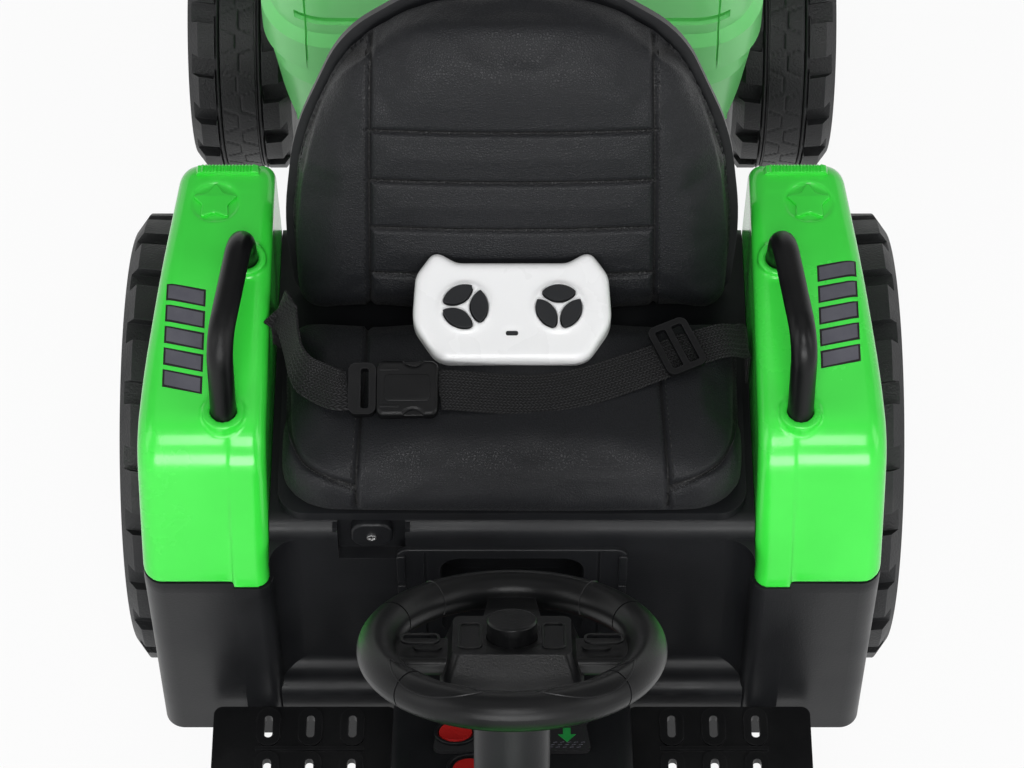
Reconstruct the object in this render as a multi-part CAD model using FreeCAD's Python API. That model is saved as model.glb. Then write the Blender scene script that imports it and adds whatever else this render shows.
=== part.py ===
import FreeCAD, Part
import math
import os

V = FreeCAD.Vector

# Driving dimensions in millimetres: X across, Y to the rear, Z up; the tractor faces -Y.
overall_width = 500.0
wheelbase = 590.0
nose_overhang = 155.0
trailer_setback = 400.0
tail_overhang = 195.0
front_track = 436.0
trailer_track = 472.0
rear_wheel_radius = 150.0
rear_wheel_width = 86.0
rear_rim_radius = 92.0
rear_lug_count = 22
small_wheel_radius = 102.5
small_wheel_width = 74.0
small_rim_radius = 60.0
small_lug_count = 16

# Shared walls, shafts and clearances.
wall = 3.0
rest_gap = 0.2
panel_gap = 0.4
moving_gap = 0.5
shaft_gap = 0.08
axle_radius = 5.0
cut_over = 6.0

# Stations that the pieces share.
rear_axle_y = (wheelbase + nose_overhang - trailer_setback - tail_overhang) / 2
front_axle_y = rear_axle_y - wheelbase
trailer_axle_y = rear_axle_y + trailer_setback
nose_y = front_axle_y - nose_overhang
tail_y = trailer_axle_y + tail_overhang

# Fenders, measured from the rear axle.
wheel_side_gap = 14.0
fender_inner = overall_width / 2 - rear_wheel_width - wheel_side_gap
fender_tuck = 20.0
fender_outer = overall_width / 2 - fender_tuck
fender_taper = 24.0
fender_rear_outer = fender_outer - fender_taper
fender_front = 184.0
fender_step = 4.0
fender_wall = 5.5
fender_step_in = 23.0
fender_step_x = fender_inner + fender_step_in
fender_floor_z = 76.0
fender_seam_z = 255.0
fender_knee_round = 40.0
fender_bend_y = 140.0
fender_bend_z = 347.0
fender_bend_round = 45.0
fender_crest_y = 20.0
fender_crest_z = 369.0
fender_crest_round = 300.0
fender_top_z = 370.0
fender_top_rear = 66.0
fender_rear_round = 20.0
fender_rear_foot = 96.0
fender_taper_start = 110.0
fender_taper_round = 800.0
fender_edge_round = 13.0
fender_inner_round = 9.0
fender_box_end = 60.0
arch_gap = 12.0
lip_height = 3.0
lip_depth = 9.0
lip_inset = 9.0

# Seat box and access panel.
box_wall_front = 166.0
box_sill_front = 186.0
box_sill_z = 131.0
box_sill_round = 9.0
box_top_z = 292.0
box_top_round = 12.0
box_rear = 72.0
box_base_z = 66.0
corner_blend = 18.0
panel_share = 0.48
panel_half = fender_inner * panel_share
panel_low_z = 139.0
panel_high_z = 272.0
panel_round = 8.0
panel_thick = 3.0
pocket_margin = 27.0
pocket_half = panel_half - pocket_margin
pocket_low_z = 172.0
pocket_high_z = 263.0
pocket_round = 14.0
pocket_depth = 50.0
groove_margin = 18.0
groove_half = panel_half - groove_margin
groove_size = 2.0
latch_share = 0.58
latch_x = -fender_inner * latch_share
latch_half = 21.0
latch_depth = 9.0
tab_half = 13.0
tab_height = 24.0
tab_round = 9.0
tab_thick = 6.0
latch_travel = 6.0
latch_room = 4.0
latch_height = tab_height + latch_travel + latch_room

# Seat, with the cushions crowned on large spheres.
seat_side_gap = 5.0
seat_half = fender_inner - seat_side_gap
seat_draw = 3.0
seat_draw_round = 700.0
seat_front = 162.0
seat_rear = 32.0
seat_shell_thick = 7.0
seat_cushion_z = 343.0
seat_corner_round = 34.0
seat_rear_round = 18.0
seat_crown_radius = 1300.0
seat_edge_round = 15.0
seam_radius = 1.6
seat_bolster = 53.0
seat_seam_x = seat_half - seat_bolster
back_tilt = 21.5
back_foot_y = 6.0
back_foot_z = 303.0
back_height = 217.0
back_thick = 42.0
back_crown_radius = 1000.0
back_edge_round = 15.0
back_shell_thick = 7.0
back_shell_reach = 2.5
hinge_y = 19.0
hinge_rise = 6.0
hinge_radius = 5.0
hinge_half = 50.0
hinge_pin = 3.0
back_half_shares = (0.938, 0.979, 0.924, 0.7105, 0.3725)
back_level_shares = (0.0, 0.26, 0.545, 0.86, 1.0)
back_round_shares = (0.074, 0.922, 0.691, 0.3226, 0.3226)
back_bolster = 57.0
back_seam_x = seat_half - back_bolster
back_channel_shares = (0.18, 0.338, 0.495, 0.655)

# Lap belt.
webbing_width = 25.4
webbing_thick = 1.6
strap_steps = 3
belt_lift = 7.0
belt_tilt = 20.0
belt_middle_share = 0.648
strap_lead = 7.0
strap_end_gap = 0.5
left_strap_shares = (
    (0.283, 0.652, 1.0, 3.0, 0.0), (0.466, 0.613, 1.0, -12.0, 0.0), (0.657, 0.518, 1.0, -22.0, 0.0),
    (0.817, 0.425, 1.1, -22.0, 0.0), (0.925, 0.378, 1.3, -14.0, 0.0), (0.982, 0.358, 0.7, -8.0, 0.0),
)
right_strap_shares = (
    (0.427, 0.599, 1.95, 40.0, 56.0), (0.62, 0.562, 2.2, 70.0, 64.0), (0.74, 0.500, 2.4, 80.0, 60.0),
    (0.80, 0.432, 2.6, 73.0, 50.0), (0.85, 0.376, 3.0, 55.0, 45.0), (0.91, 0.332, 3.7, 32.0, 42.0),
    (0.985, 0.308, 4.1, 12.0, 40.0),
)
left_side_shares = ((0.84, 1.009), (0.55, 1.0165), (0.22, 1.0165))
right_side_shares = ((1.08, 1.0155), (0.66, 1.0165), (0.22, 1.0165))
left_side_share = 0.345
right_side_share = 0.265
left_side_lean = 0.0
right_side_lean = 26.0
buckle_length = 38.0
buckle_width = 35.0
buckle_thick = 11.0
buckle_round = 5.0
buckle_notch = 7.0
buckle_notch_share = 0.6
buckle_share = 0.4414
buckle_x = -seat_half * buckle_share
plug_length = 17.0
plug_thick = 8.0
plug_slot = 5.0
plug_slot_x = 7.0
plug_slot_round = 1.6
plug_side_inset = 1.25
slider_length = 26.0
slider_width = 36.0
slider_thick = 4.0
slider_bar = 4.0
slider_slot_round = 1.6
slider_share = 0.774
slider_back_share = 0.432
slider_lift = 9.8
slider_turn = 24.0

# Footboards and pedal, beside the console.
console_share = 0.5
console_half = fender_inner * console_share
cowl_flare = 17.0
cowl_half = console_half + cowl_flare
board_round = 6.0
board_inset = 35.0
board_outer = fender_outer - board_inset
board_z = 111.0
board_thick = 4.0
board_wheel_gap = 62.5
board_front = wheelbase - small_wheel_radius - board_wheel_gap
board_skirt = 16.0
slot_margin = 29.0
slot_first_x = console_half + slot_margin
slot_edge = 36.2
slot_columns = 3
slot_pitch_x = (board_outer - slot_edge - slot_first_x) / (slot_columns - 1)
slot_first_y = 204.0
slot_pitch_y = 32.0
slot_rows = 6
pedal_rows = 3
slot_width = 5.4
slot_length = 16.0
surround_width = 15.6
surround_length = 28.0
surround_height = 1.6
rib_thick = 3.0
pedal_half = 28.0
pedal_side_gap = 12.0
pedal_x = -cowl_half - pedal_half - pedal_side_gap
pedal_length = 84.0
pedal_thick = 7.0
pedal_pivot_y = 330.0
pedal_pivot_rise = 9.0
pedal_barrel = 6.0
pedal_pin = 3.0
pedal_slope = 20.0
pedal_tread = 2.0
ear_thick = 6.0

# Console, cowl and switches.
console_heel_z = 166.0
console_panel_rear = 206.0
console_panel_low_z = 178.0
console_round = 6.0
console_edge_round = 12.0
cowl_start = 318.0
cowl_start_z = 231.0
cowl_start_round = 20.0
cowl_top_round = 30.0
cowl_top_y = 405.0
cowl_top_z = 336.0
cowl_front = 428.0
cowl_board_gap = 8.0
cowl_base_z = board_z + cowl_board_gap
cowl_edge_round = 14.0
plate_length = 82.0
plate_half_rear = 41.0
plate_half_front = 49.0
plate_thick = 2.5
plate_inset = 4.0
plate_round = 5.0
switch_radius = 10.5
switch_bezel = 2.0
switch_depth = 9.0
switch_proud = 2.5
switch_pivot = 1.5
light_x = -35.0
light_back = 64.0
direction_x = 36.0
direction_back = 44.0
start_x = -26.0
start_radius = 10.5
start_back = 101.0
start_depth = 7.0
start_travel = 2.0
start_flush = 1.5
start_proud = start_travel + start_flush

# Steering.
wheel_back = 333.0
wheel_z = 430.0
column_tilt = 32.5
wheel_ring_radius = 75.5
wheel_rim_radius = 11.0
spoke_width = 30.0
spoke_thick = 11.0
rear_spoke_wide = 42.0
rear_spoke_narrow = 24.0
hub_half_x = 33.0
hub_half_y = 24.0
hub_top = 8.0
hub_bottom = 12.0
hub_flare = 7.0
hub_round = 5.0
hub_skirt_radius = 19.0
hub_skirt_drop = 30.0
dish_radius = 90.0
dish_depth = 2.0
horn_radius = 14.0
horn_height = 10.0
horn_stem_depth = 5.0
horn_travel = 3.0
thumb_length = 16.0
thumb_width = 8.0
thumb_x = 47.0
seam_width = 1.2
seam_depth = 0.7
rim_seam_angles = (28.0, 152.0, 222.0, 318.0)
column_radius = 21.5
shaft_radius = 5.0
crank_reach = 44.0
crank_z = 138.0
crank_drop = 18.0
shaft_bend = 8.0
shaft_socket = 3.0
shaft_hole_radius = 9.0

# Front axle and linkage.
kingpin_in = 16.0
kingpin_x = front_track / 2 - small_wheel_width - kingpin_in
kingpin_radius = 5.0
knuckle_radius = 11.0
knuckle_half = 17.0
ear_gap = 0.5
ear_height = 6.0
ear_radius = 13.0
beam_half_y = 14.0
beam_half_z = 12.0
beam_web = 18.0
beam_pad_half = 40.0
arm_width = 14.0
arm_thick = 5.0
arm_top_z = 103.5
arm_pin_height = 7.0
spacer_radius = 8.0
kingpin_tail = 1.0
arm_pin_radius = 3.5
tie_width = 14.0
tie_thick = 4.0
tongue_hole_radius = 8.6

# Chassis, hood and nose.
pan_inset = 4.0
pan_half = fender_inner - pan_inset
pan_thick = 5.0
pan_rib = 8.0
pan_rib_x = 62.0
block_half = 80.0
block_low_z = 150.0
bulkhead_thick = 8.0
link_window_half = 48.0
link_window_low_z = 90.0
link_window_high_z = 128.0
block_flange_z = 172.0
block_front_gap = 18.0
hood_base_z = 190.0
hood_rear_z = 336.0
hood_nose_z = 306.0
hood_front_gap = 6.0
hood_nose_round = 46.0
hood_edge_round = 26.0
louvre_length = 46.0
louvre_height = 7.0
louvre_pitch = 17.0
louvre_count = 4
louvre_low_z = 214.0
louvre_back = 150.0
grille_half = 66.0
grille_low_z = 196.0
grille_high_z = 258.0
grille_round = 16.0
grille_slot = 5.0
grille_pitch = 11.0
grille_slots = 5
lamp_x = 50.0
lamp_z = 238.0
lamp_recess = 1.0
grille_slot_depth = 3.0
grille_slot_margin = 9.0
lamp_radius = 13.0
stack_x = -56.0
stack_y = 520.0
stack_radius = 12.0
stack_bore = 9.5
stack_base_radius = 20.0
stack_base_height = 12.0
stack_top_z = 470.0
stack_slant = 35.0

# Drive train and electrics inside the seat box.
gearbox_width = 46.0
gearbox_half_y = 40.0
gearbox_half_z = 36.0
gearbox_round = 12.0
motor_radius = 18.0
motor_length = 56.0
motor_y = 22.0
motor_rise = 18.0
battery_width = 150.0
battery_depth = 65.0
battery_height = 94.0
battery_rear = 47.0
terminal_size = 8.0
terminal_height = 5.0
control_width = 70.0
control_depth = 22.0
control_height = 46.0
control_z = 200.0

# Grab handles.
handle_radius = 8.0
handle_bend = 22.0
handle_front_in = 26.0
handle_front_x = fender_inner + handle_front_in
handle_rear_in = 16.0
handle_rear_x = fender_inner + handle_rear_in
handle_front_y = 120.0
handle_front_lean = 15.0
handle_rear_y = 16.0
handle_rear_lean = 9.0
handle_rise = 44.0
handle_seat = 7.0
boss_radius = 13.0
boss_height = 2.5
cap_in = 37.0
cap_x = fender_inner + cap_in
cap_y = 29.0
cap_radius = 15.5
cap_depth = 1.8
star_radius = 12.5
star_height = 4.0
star_lobes = 5
star_cut = 6.0
star_cut_at = 15.0

# Hitch and trailer.
hitch_y = 190.0
hitch_z = 100.0
hitch_thick = 7.0
hitch_half = 22.0
hitch_plate = 5.0
hitch_plate_half = 45.0
hitch_plate_height = 60.0
pin_radius = 5.0
pin_head_radius = 10.0
pin_head = 5.0
pin_tail = 10.0
tub_front = 272.0
tub_inset = 6.0
tub_side_gap = 64.0
tub_half = trailer_track / 2 - tub_side_gap
tub_base_z = 124.0
tub_crease_z = 190.0
tub_rim_z = 213.0
tub_base_inset = 9.0
tub_rim_inset = 2.0
tub_round = 46.0
well_side_gap = 5.0
tub_well_x = trailer_track / 2 - small_wheel_width - well_side_gap
tub_well_gap = 6.0
tier_ledge_z = 240.0
tier_ledge_top_z = 248.0
tier_ledge = 6.0
tier_top_z = 330.0
tier_lean = 3.0
tier_thick = 9.0
tier_round = 52.0
tier_seam = 1.4
tier_seam_inset = 34.0
tier_slot_length = 57.0
tier_slot_height = 8.0
tier_slot_z = 262.0
tier_slot_margin = 77.0
tier_slot_in = tub_half - tier_slot_margin
drawbar_half = 18.0
drawbar_thick = 9.0
drawbar_tail = 60.0
cross_gap = 34.0
cross_half = trailer_track / 2 - small_wheel_width - cross_gap
cross_depth = 16.0
cross_drop = 14.0

# Remote handset.
remote_y = 50.5
remote_z = 365.5
remote_tilt = 16.0
remote_half = 62.0
remote_height = 70.0
remote_depth = 60.0
remote_across_shares = (0.74, 1.0, 0.97, 0.78, 0.55)
remote_along_shares = (-0.50, -0.12, 0.32, 0.56, 0.44)
remote_round_shares = (0.242, 0.387, 0.226, 0.097, 0.129)
remote_edge_round = 5.0
remote_back_gap = 0.6
pad_x = 29.0
pad_radius = 16.5
pad_height = 1.5
key_radius = 14.0
key_arc_radius = 12.0
key_arc_at = 15.5
key_count = 3
key_height = 2.5
key_travel = 1.0
key_gap = 0.35
mat_thick = 1.5
mat_inset = 2.5
mat_depth = 4.0
window_half = 4.0
window_y = 17.0
window_height = 3.0
window_depth = 1.0

# Wheel details shared by all six wheels.
lug_height = 7.0
lug_gap = 15.0
lug_skew = 8.0
band_half = 13.0
band_drop = 1.5
ring_groove = 4.0
ring_groove_depth = 6.0
shoulder_drop = 11.0
shoulder_width = 8.0
wheel_dish = 16.0
rim_lip = 4.0
rim_slope = 5.0
hub_radius = 24.0
hub_face_depth = 8.0
hubcap_thick = 4.0
hubcap_rise = 6.0
hubcap_boss = 21.0
hubcap_lip = 0.5
window_radius_share = 0.13
window_at_share = 0.66
hubcap_windows = 6
axle_end_proud = 1.0


# Helper shapes.
def inset_corners(corners, gap):
    # Moves every side of a closed outline inward, or outward for a negative gap.
    count = len(corners)
    area = 0.0
    for i in range(count):
        a = corners[i]
        b = corners[(i + 1) % count]
        area += a[0] * b[1] - b[0] * a[1]
    turn = 1.0 if area > 0 else -1.0
    lines = []
    for i in range(count):
        a = corners[i]
        b = corners[(i + 1) % count]
        length = math.hypot(b[0] - a[0], b[1] - a[1])
        du = (b[0] - a[0]) / length
        dv = (b[1] - a[1]) / length
        lines.append((a[0] - turn * dv * gap, a[1] + turn * du * gap, du, dv))
    moved = []
    for i in range(count):
        u0, v0, du0, dv0 = lines[i - 1]
        u1, v1, du1, dv1 = lines[i]
        cross = du0 * dv1 - dv0 * du1
        along = ((u1 - u0) * dv1 - (v1 - v0) * du1) / cross
        convex = cross * turn > 0
        radius = corners[i][2]
        if radius > 0:
            radius = radius - gap if convex else radius + gap
        moved.append((u0 + du0 * along, v0 + dv0 * along, max(radius, 0.0)))
    return moved


def rounded_wire(corners, place):
    # Turns (u, v, radius) corners into a closed wire of lines and arcs.
    count = len(corners)
    ends = []
    for i in range(count):
        p = place(corners[i][0], corners[i][1])
        before = (place(corners[i - 1][0], corners[i - 1][1]) - p).normalize()
        after = corners[(i + 1) % count]
        after = (place(after[0], after[1]) - p).normalize()
        radius = corners[i][2]
        half = before.getAngle(after) / 2
        if radius == 0:
            ends.append((p, None, p))
            continue
        reach = radius / math.tan(half)
        middle = (before + after).normalize()
        bow = middle * (radius / math.sin(half) - radius)
        ends.append((p + before * reach, p + bow, p + after * reach))
    edges = []
    for i in range(count):
        start = ends[i - 1][2]
        stop = ends[i][0]
        if start.distanceToPoint(stop) > panel_gap / 100:
            edges.append(Part.makeLine(start, stop))
        if ends[i][1]:
            edges.append(Part.Arc(*ends[i]).toShape())
    return Part.Wire(Part.__sortEdges__(edges))


def across(corners, x0, x1):
    # A side outline of (y, z, radius) corners, drawn out along X.
    wire = rounded_wire(corners, lambda u, v: V(x0, u, v))
    return Part.Face(wire).extrude(V(x1 - x0, 0, 0))


def upward(corners, z0, z1):
    # A plan outline of (x, y, radius) corners, drawn out along Z.
    wire = rounded_wire(corners, lambda u, v: V(u, v, z0))
    return Part.Face(wire).extrude(V(0, 0, z1 - z0))


def rearward(corners, y0, y1):
    # A front outline of (x, z, radius) corners, drawn out along Y.
    wire = rounded_wire(corners, lambda u, v: V(u, y0, v))
    return Part.Face(wire).extrude(V(0, y1 - y0, 0))


def block(x0, x1, y0, y1, z0, z1):
    return Part.makeBox(x1 - x0, y1 - y0, z1 - z0, V(x0, y0, z0))


def rectangle(u0, u1, v0, v1, radius):
    return [(u0, v0, radius), (u1, v0, radius), (u1, v1, radius), (u0, v1, radius)]


def stadium(u, v, width, length):
    return rectangle(u - width / 2, u + width / 2, v - length / 2, v + length / 2, width / 2 - rest_gap)


def turned(corners, place, centre, axis):
    return Part.Face(rounded_wire(corners, place)).revolve(centre, axis, 360)


def pipe(points, radius, bend):
    # A round bar along a bent path.
    edges = []
    last = points[0]
    for i in range(1, len(points) - 1):
        p = points[i]
        before = (points[i - 1] - p).normalize()
        after = (points[i + 1] - p).normalize()
        half = before.getAngle(after) / 2
        reach = bend / math.tan(half)
        bow = (before + after).normalize() * (bend / math.sin(half) - bend)
        edges.append(Part.makeLine(last, p + before * reach))
        edges.append(Part.Arc(p + before * reach, p + bow, p + after * reach).toShape())
        last = p + after * reach
    edges.append(Part.makeLine(last, points[-1]))
    ring = Part.Wire(Part.makeCircle(radius, points[0], points[1] - points[0]))
    return Part.Wire(edges).makePipeShell([ring], True, False)


def soften(shape, radius, test):
    return shape.makeFillet(radius, [edge for edge in shape.Edges if test(edge.BoundBox)])


def mirrored(shape):
    return shape.mirror(V(0, 0, 0), V(1, 0, 0))


def near(a, b):
    return abs(a - b) < panel_gap / 10


def save(name, shape):
    solids = shape.Solids
    out = solids[0] if len(solids) == 1 else Part.makeCompound(solids)
    out.exportStep("parts/" + name + ".step")


# Wheels.
def wheel_profile(radius, width, rim):
    half = width / 2
    dish = half - wheel_dish
    hub_face = half - hub_face_depth
    bore = axle_radius + shaft_gap
    groove = radius - ring_groove_depth
    side = [
        (hub_face, bore, 0), (hub_face, hub_radius, 0), (dish, hub_radius, 0),
        (dish, rim - rim_slope, 0), (half - rim_lip, rim, 0), (half, rim + rim_lip, 0),
        (half, radius - shoulder_drop, 0), (half - shoulder_width, radius, 0),
        (band_half + ring_groove, radius, 0), (band_half + ring_groove, groove, 0),
        (band_half, groove, 0), (band_half, radius - band_drop, 0),
    ]
    return side + [(-x, r, 0) for x, r, fillet in reversed(side)]


def wheel_body(radius, width, rim, lug_count):
    body = turned(wheel_profile(radius, width, rim), lambda u, v: V(u, 0, v), V(0, 0, 0), V(1, 0, 0))
    start = band_half + ring_groove - rest_gap
    reach = width / 2 - start + cut_over
    floor = radius - lug_height
    pitch = 360.0 / lug_count
    gaps = []
    for k in range(lug_count):
        for side in (1, -1):
            gap = Part.makeBox(reach, lug_gap, lug_height + cut_over, V(start, -lug_gap / 2, floor))
            gap.rotate(V(start, 0, 0), V(0, 0, 1), lug_skew)
            if side < 0:
                gap = mirrored(gap)
            shift = 0.5 if side > 0 else 0.0
            gap.rotate(V(0, 0, 0), V(1, 0, 0), pitch * (k + shift))
            gaps.append(gap)
    return body.cut(Part.makeCompound(gaps))


def hubcap(width, rim):
    dish = width / 2 - wheel_dish + rest_gap
    edge = rim - rim_slope - rest_gap
    hole = hub_radius + rest_gap
    face = width / 2 - hub_face_depth + rest_gap
    top = face + hubcap_rise
    profile = [
        (dish, hole, 0), (dish, edge, 0), (dish + hubcap_thick, edge - hubcap_thick, 0),
        (dish + hubcap_thick, hole + hubcap_thick, 0), (top, hub_radius, 0),
        (top + hubcap_lip, hubcap_boss, 0), (top + hubcap_lip, 0, 0), (top - hubcap_thick, 0, 0),
        (top - hubcap_thick, hubcap_boss - hubcap_thick, 0), (face, hubcap_boss - hubcap_thick, 0),
        (face, hole, 0),
    ]
    cap = turned(profile, lambda u, v: V(u, 0, v), V(0, 0, 0), V(1, 0, 0))
    holes = []
    for k in range(hubcap_windows):
        window = Part.makeCylinder(rim * window_radius_share, wheel_dish + cut_over,
                                   V(dish - cut_over, 0, 0),
                                   V(1, 0, 0))
        window.translate(V(0, 0, rim * window_at_share))
        window.rotate(V(0, 0, 0), V(1, 0, 0), 360.0 / hubcap_windows * k)
        holes.append(window)
    return cap.cut(Part.makeCompound(holes))


def save_wheel_pair(name, radius, width, rim, lug_count, track, y):
    centre = V(track / 2 - width / 2, y, radius)
    left_wheel = wheel_body(radius, width, rim, lug_count)
    left_wheel.translate(centre)
    left_cap = hubcap(width, rim)
    left_cap.translate(centre)
    save("left_" + name + "_wheel", left_wheel)
    save("right_" + name + "_wheel", mirrored(left_wheel))
    save("left_" + name + "_hubcap", left_cap)
    save("right_" + name + "_hubcap", mirrored(left_cap))


# Fenders and the rear body.
def fender_side(step, floor):
    front = rear_axle_y - fender_front - step
    return [
        (front, floor, 0),
        (front, fender_seam_z, fender_knee_round),
        (rear_axle_y - fender_bend_y, fender_bend_z, fender_bend_round),
        (rear_axle_y - fender_crest_y, fender_crest_z, fender_crest_round),
        (rear_axle_y + fender_top_rear, fender_top_z, fender_rear_round),
        (rear_axle_y + fender_rear_foot, floor, 0),
    ]


def fender_form(inner, gap, floor):
    # The whole left fender as a solid, drawn in by the gap on every side.
    outer_side = inset_corners(fender_side(0, floor), gap)
    inner_side = inset_corners(fender_side(fender_step, floor), gap)
    form = across(outer_side, fender_step_x, fender_outer + cut_over)
    form = form.fuse(across(inner_side, inner + gap, fender_step_x))
    front = rear_axle_y - fender_front - fender_step - cut_over
    rear = rear_axle_y + fender_rear_foot + cut_over
    plan = [
        (inner, front, 0),
        (fender_outer, front, 0),
        (fender_outer, rear_axle_y - fender_taper_start, fender_taper_round),
        (fender_rear_outer, rear, 0),
        (inner, rear, 0),
    ]
    form = form.common(upward(inset_corners(plan, gap), floor - cut_over, fender_top_z + cut_over))
    low = form.BoundBox.ZMin
    front = form.BoundBox.YMin + fender_step

    def outer_edge(b):
        runs = b.YLength > panel_gap or near(b.YMin, front)
        return b.XMin > fender_rear_outer - gap - panel_gap and runs and b.ZMax > low + panel_gap

    def inner_edge(b):
        return near(b.XMin, inner + gap) and near(b.XMax, inner + gap) and b.ZMax > low + panel_gap

    form = soften(form, fender_edge_round - gap, outer_edge)
    return soften(form, fender_inner_round - gap, inner_edge)


def fender_shell(inner):
    shell = fender_form(inner, 0, fender_floor_z)
    hollow = fender_form(inner, fender_wall, fender_floor_z - fender_wall - cut_over)
    arch = Part.makeCylinder(rear_wheel_radius + arch_gap, fender_outer,
                             V(fender_inner + fender_wall, rear_axle_y,
                             rear_wheel_radius), V(1, 0, 0))
    return shell.cut(hollow).cut(arch)


def fender_height(y):
    # Height of the fender's top at a distance ahead of the rear axle.
    slope = (fender_crest_z - fender_bend_z) / (fender_bend_y - fender_crest_y)
    return min(fender_crest_z, fender_crest_z - (y - fender_crest_y) * slope)


def handle_ends():
    front = V(handle_front_x, rear_axle_y - handle_front_y, fender_height(handle_front_y))
    rear = V(handle_rear_x, rear_axle_y - handle_rear_y, fender_height(handle_rear_y))
    return front, rear


def left_handle():
    front, rear = handle_ends()
    top = fender_crest_z + handle_rise
    rise_front = top - handle_radius - front.z
    rise_rear = top - handle_radius - rear.z
    lean_front = V(0, handle_front_lean, rise_front)
    lean_rear = V(0, -handle_rear_lean, rise_rear)
    points = [
        front - lean_front * (handle_seat / rise_front), front + lean_front,
        rear + lean_rear, rear - lean_rear * (handle_seat / rise_rear),
    ]
    return pipe(points, handle_radius, handle_bend)


def star_cap():
    centre = V(cap_x, rear_axle_y + cap_y, fender_top_z - wall)
    star = Part.makeCylinder(star_radius, wall + star_height - cap_depth, centre)
    cuts = []
    for k in range(star_lobes):
        cut = Part.makeCylinder(star_cut, wall + star_height + cut_over,
                                centre + V(0, star_cut_at, wall - cap_depth))
        cut.rotate(centre, V(0, 0, 1), 360.0 / star_lobes * k)
        cuts.append(cut)
    return star.cut(Part.makeCompound(cuts))


def left_fender():
    cover = fender_shell(fender_inner + panel_gap)
    low = block(0, overall_width, nose_y, tail_y, 0, fender_seam_z + panel_gap)
    cover = cover.cut(low)
    for foot in handle_ends():
        cover = cover.fuse(Part.makeCylinder(boss_radius, boss_height + handle_seat + wall,
                                             foot - V(0, 0, handle_seat + wall)))
    dish = Part.makeCylinder(cap_radius, cap_depth + cut_over,
                             V(cap_x, rear_axle_y + cap_y, fender_top_z - cap_depth))
    cover = cover.cut(dish).fuse(star_cap())
    lip_rear = rear_axle_y + fender_top_rear - fender_rear_round
    lip = block(fender_inner + lip_inset, fender_rear_outer - lip_inset, lip_rear - lip_depth, lip_rear,
                fender_top_z - wall, fender_top_z + lip_height)
    lip = soften(lip, lip_height / 2, lambda b: near(b.ZMin, fender_top_z + lip_height))
    cover = cover.fuse(lip)
    sockets = pipe_sockets()
    return cover.cut(sockets)


def pipe_sockets():
    # The handle with a little room around it, cut from the bosses.
    front, rear = handle_ends()
    sockets = []
    for foot, lean in ((front, handle_front_lean), (rear, -handle_rear_lean)):
        rise = fender_crest_z + handle_rise - handle_radius - foot.z
        axis = V(0, lean, rise)
        start = foot - axis * (handle_seat / rise + rest_gap / rise)
        sockets.append(Part.makeCylinder(handle_radius + shaft_gap, handle_rise / 2, start, axis))
    return Part.makeCompound(sockets)


def seat_box_side(floor):
    sill = rear_axle_y - box_sill_front
    front = rear_axle_y - box_wall_front
    return [
        (sill, floor, 0), (sill, box_sill_z, box_sill_round), (front, box_sill_z, box_sill_round),
        (front, box_top_z, box_top_round), (rear_axle_y + box_rear, box_top_z, box_top_round),
        (rear_axle_y + box_rear, floor, 0),
    ]


def pocket_outline(gap):
    corners = rectangle(-pocket_half, pocket_half, pocket_low_z, pocket_high_z, pocket_round)
    return inset_corners(corners, -gap) if gap else corners


def rear_body():
    front = rear_axle_y - box_wall_front
    box = across(seat_box_side(box_base_z), -fender_inner, fender_inner)
    lower = fender_shell(fender_inner - wall / 2)
    keep = block(0, overall_width, nose_y, rear_axle_y - fender_box_end, 0, fender_seam_z)
    lower = lower.common(keep)
    corner = block(fender_inner - corner_blend, fender_inner, front - corner_blend, front, box_sill_z,
                   box_top_z
                   - box_top_round)
    corner = corner.cut(Part.makeCylinder(corner_blend, box_top_z, V(fender_inner - corner_blend, front
                                          - corner_blend, 0)))
    body = box.fuse([lower, mirrored(lower), corner, mirrored(corner)])
    side = inset_corners(seat_box_side(box_base_z - wall - cut_over), wall)
    body = body.cut(across(side, wall - fender_inner, fender_inner - wall))
    body = body.cut(rearward(pocket_outline(panel_thick + panel_gap), front - cut_over,
                             front + wall + cut_over))
    axle_hole = Part.makeCylinder(axle_radius + panel_gap, overall_width, V(-overall_width / 2, rear_axle_y,
                                  rear_wheel_radius), V(1, 0, 0))
    body = body.cut(axle_hole)
    notch = block(latch_x - latch_half, latch_x + latch_half, front - cut_over, front + latch_depth,
                  box_top_z - latch_height, box_top_z + cut_over)
    niche = block(latch_x - latch_half - wall, latch_x + latch_half + wall, front + wall / 2,
                  front + latch_depth
                  + wall, box_top_z - latch_height - wall, box_top_z - wall / 2)
    body = body.fuse(niche).cut(notch)
    pivot = seat_pivot()
    reach = hinge_radius + rest_gap
    for side in (-1, 1):
        near_x = side * (hinge_half + moving_gap)
        far_x = near_x + side * ear_thick
        start = V(min(near_x, far_x), pivot.y, pivot.z)
        body = body.fuse(block(start.x, max(near_x, far_x), pivot.y - reach, pivot.y + reach,
                               box_top_z - wall / 2, pivot.z))
        body = body.fuse(Part.makeCylinder(reach, ear_thick, start, V(1, 0, 0)))
    return body.cut(Part.makeCylinder(hinge_pin + shaft_gap, 2 * seat_half, pivot - V(seat_half, 0, 0),
                                      V(1, 0, 0)))


def seat_latch():
    front = rear_axle_y - box_wall_front
    back = front + latch_depth - moving_gap
    top = box_top_z - rest_gap
    tab = rearward(rectangle(latch_x - tab_half, latch_x + tab_half, top - tab_height, top, tab_round),
                   back - tab_thick, back)
    tab = soften(tab, tab_thick / 3, lambda b: near(b.YMax, back - tab_thick))
    return tab


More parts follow.
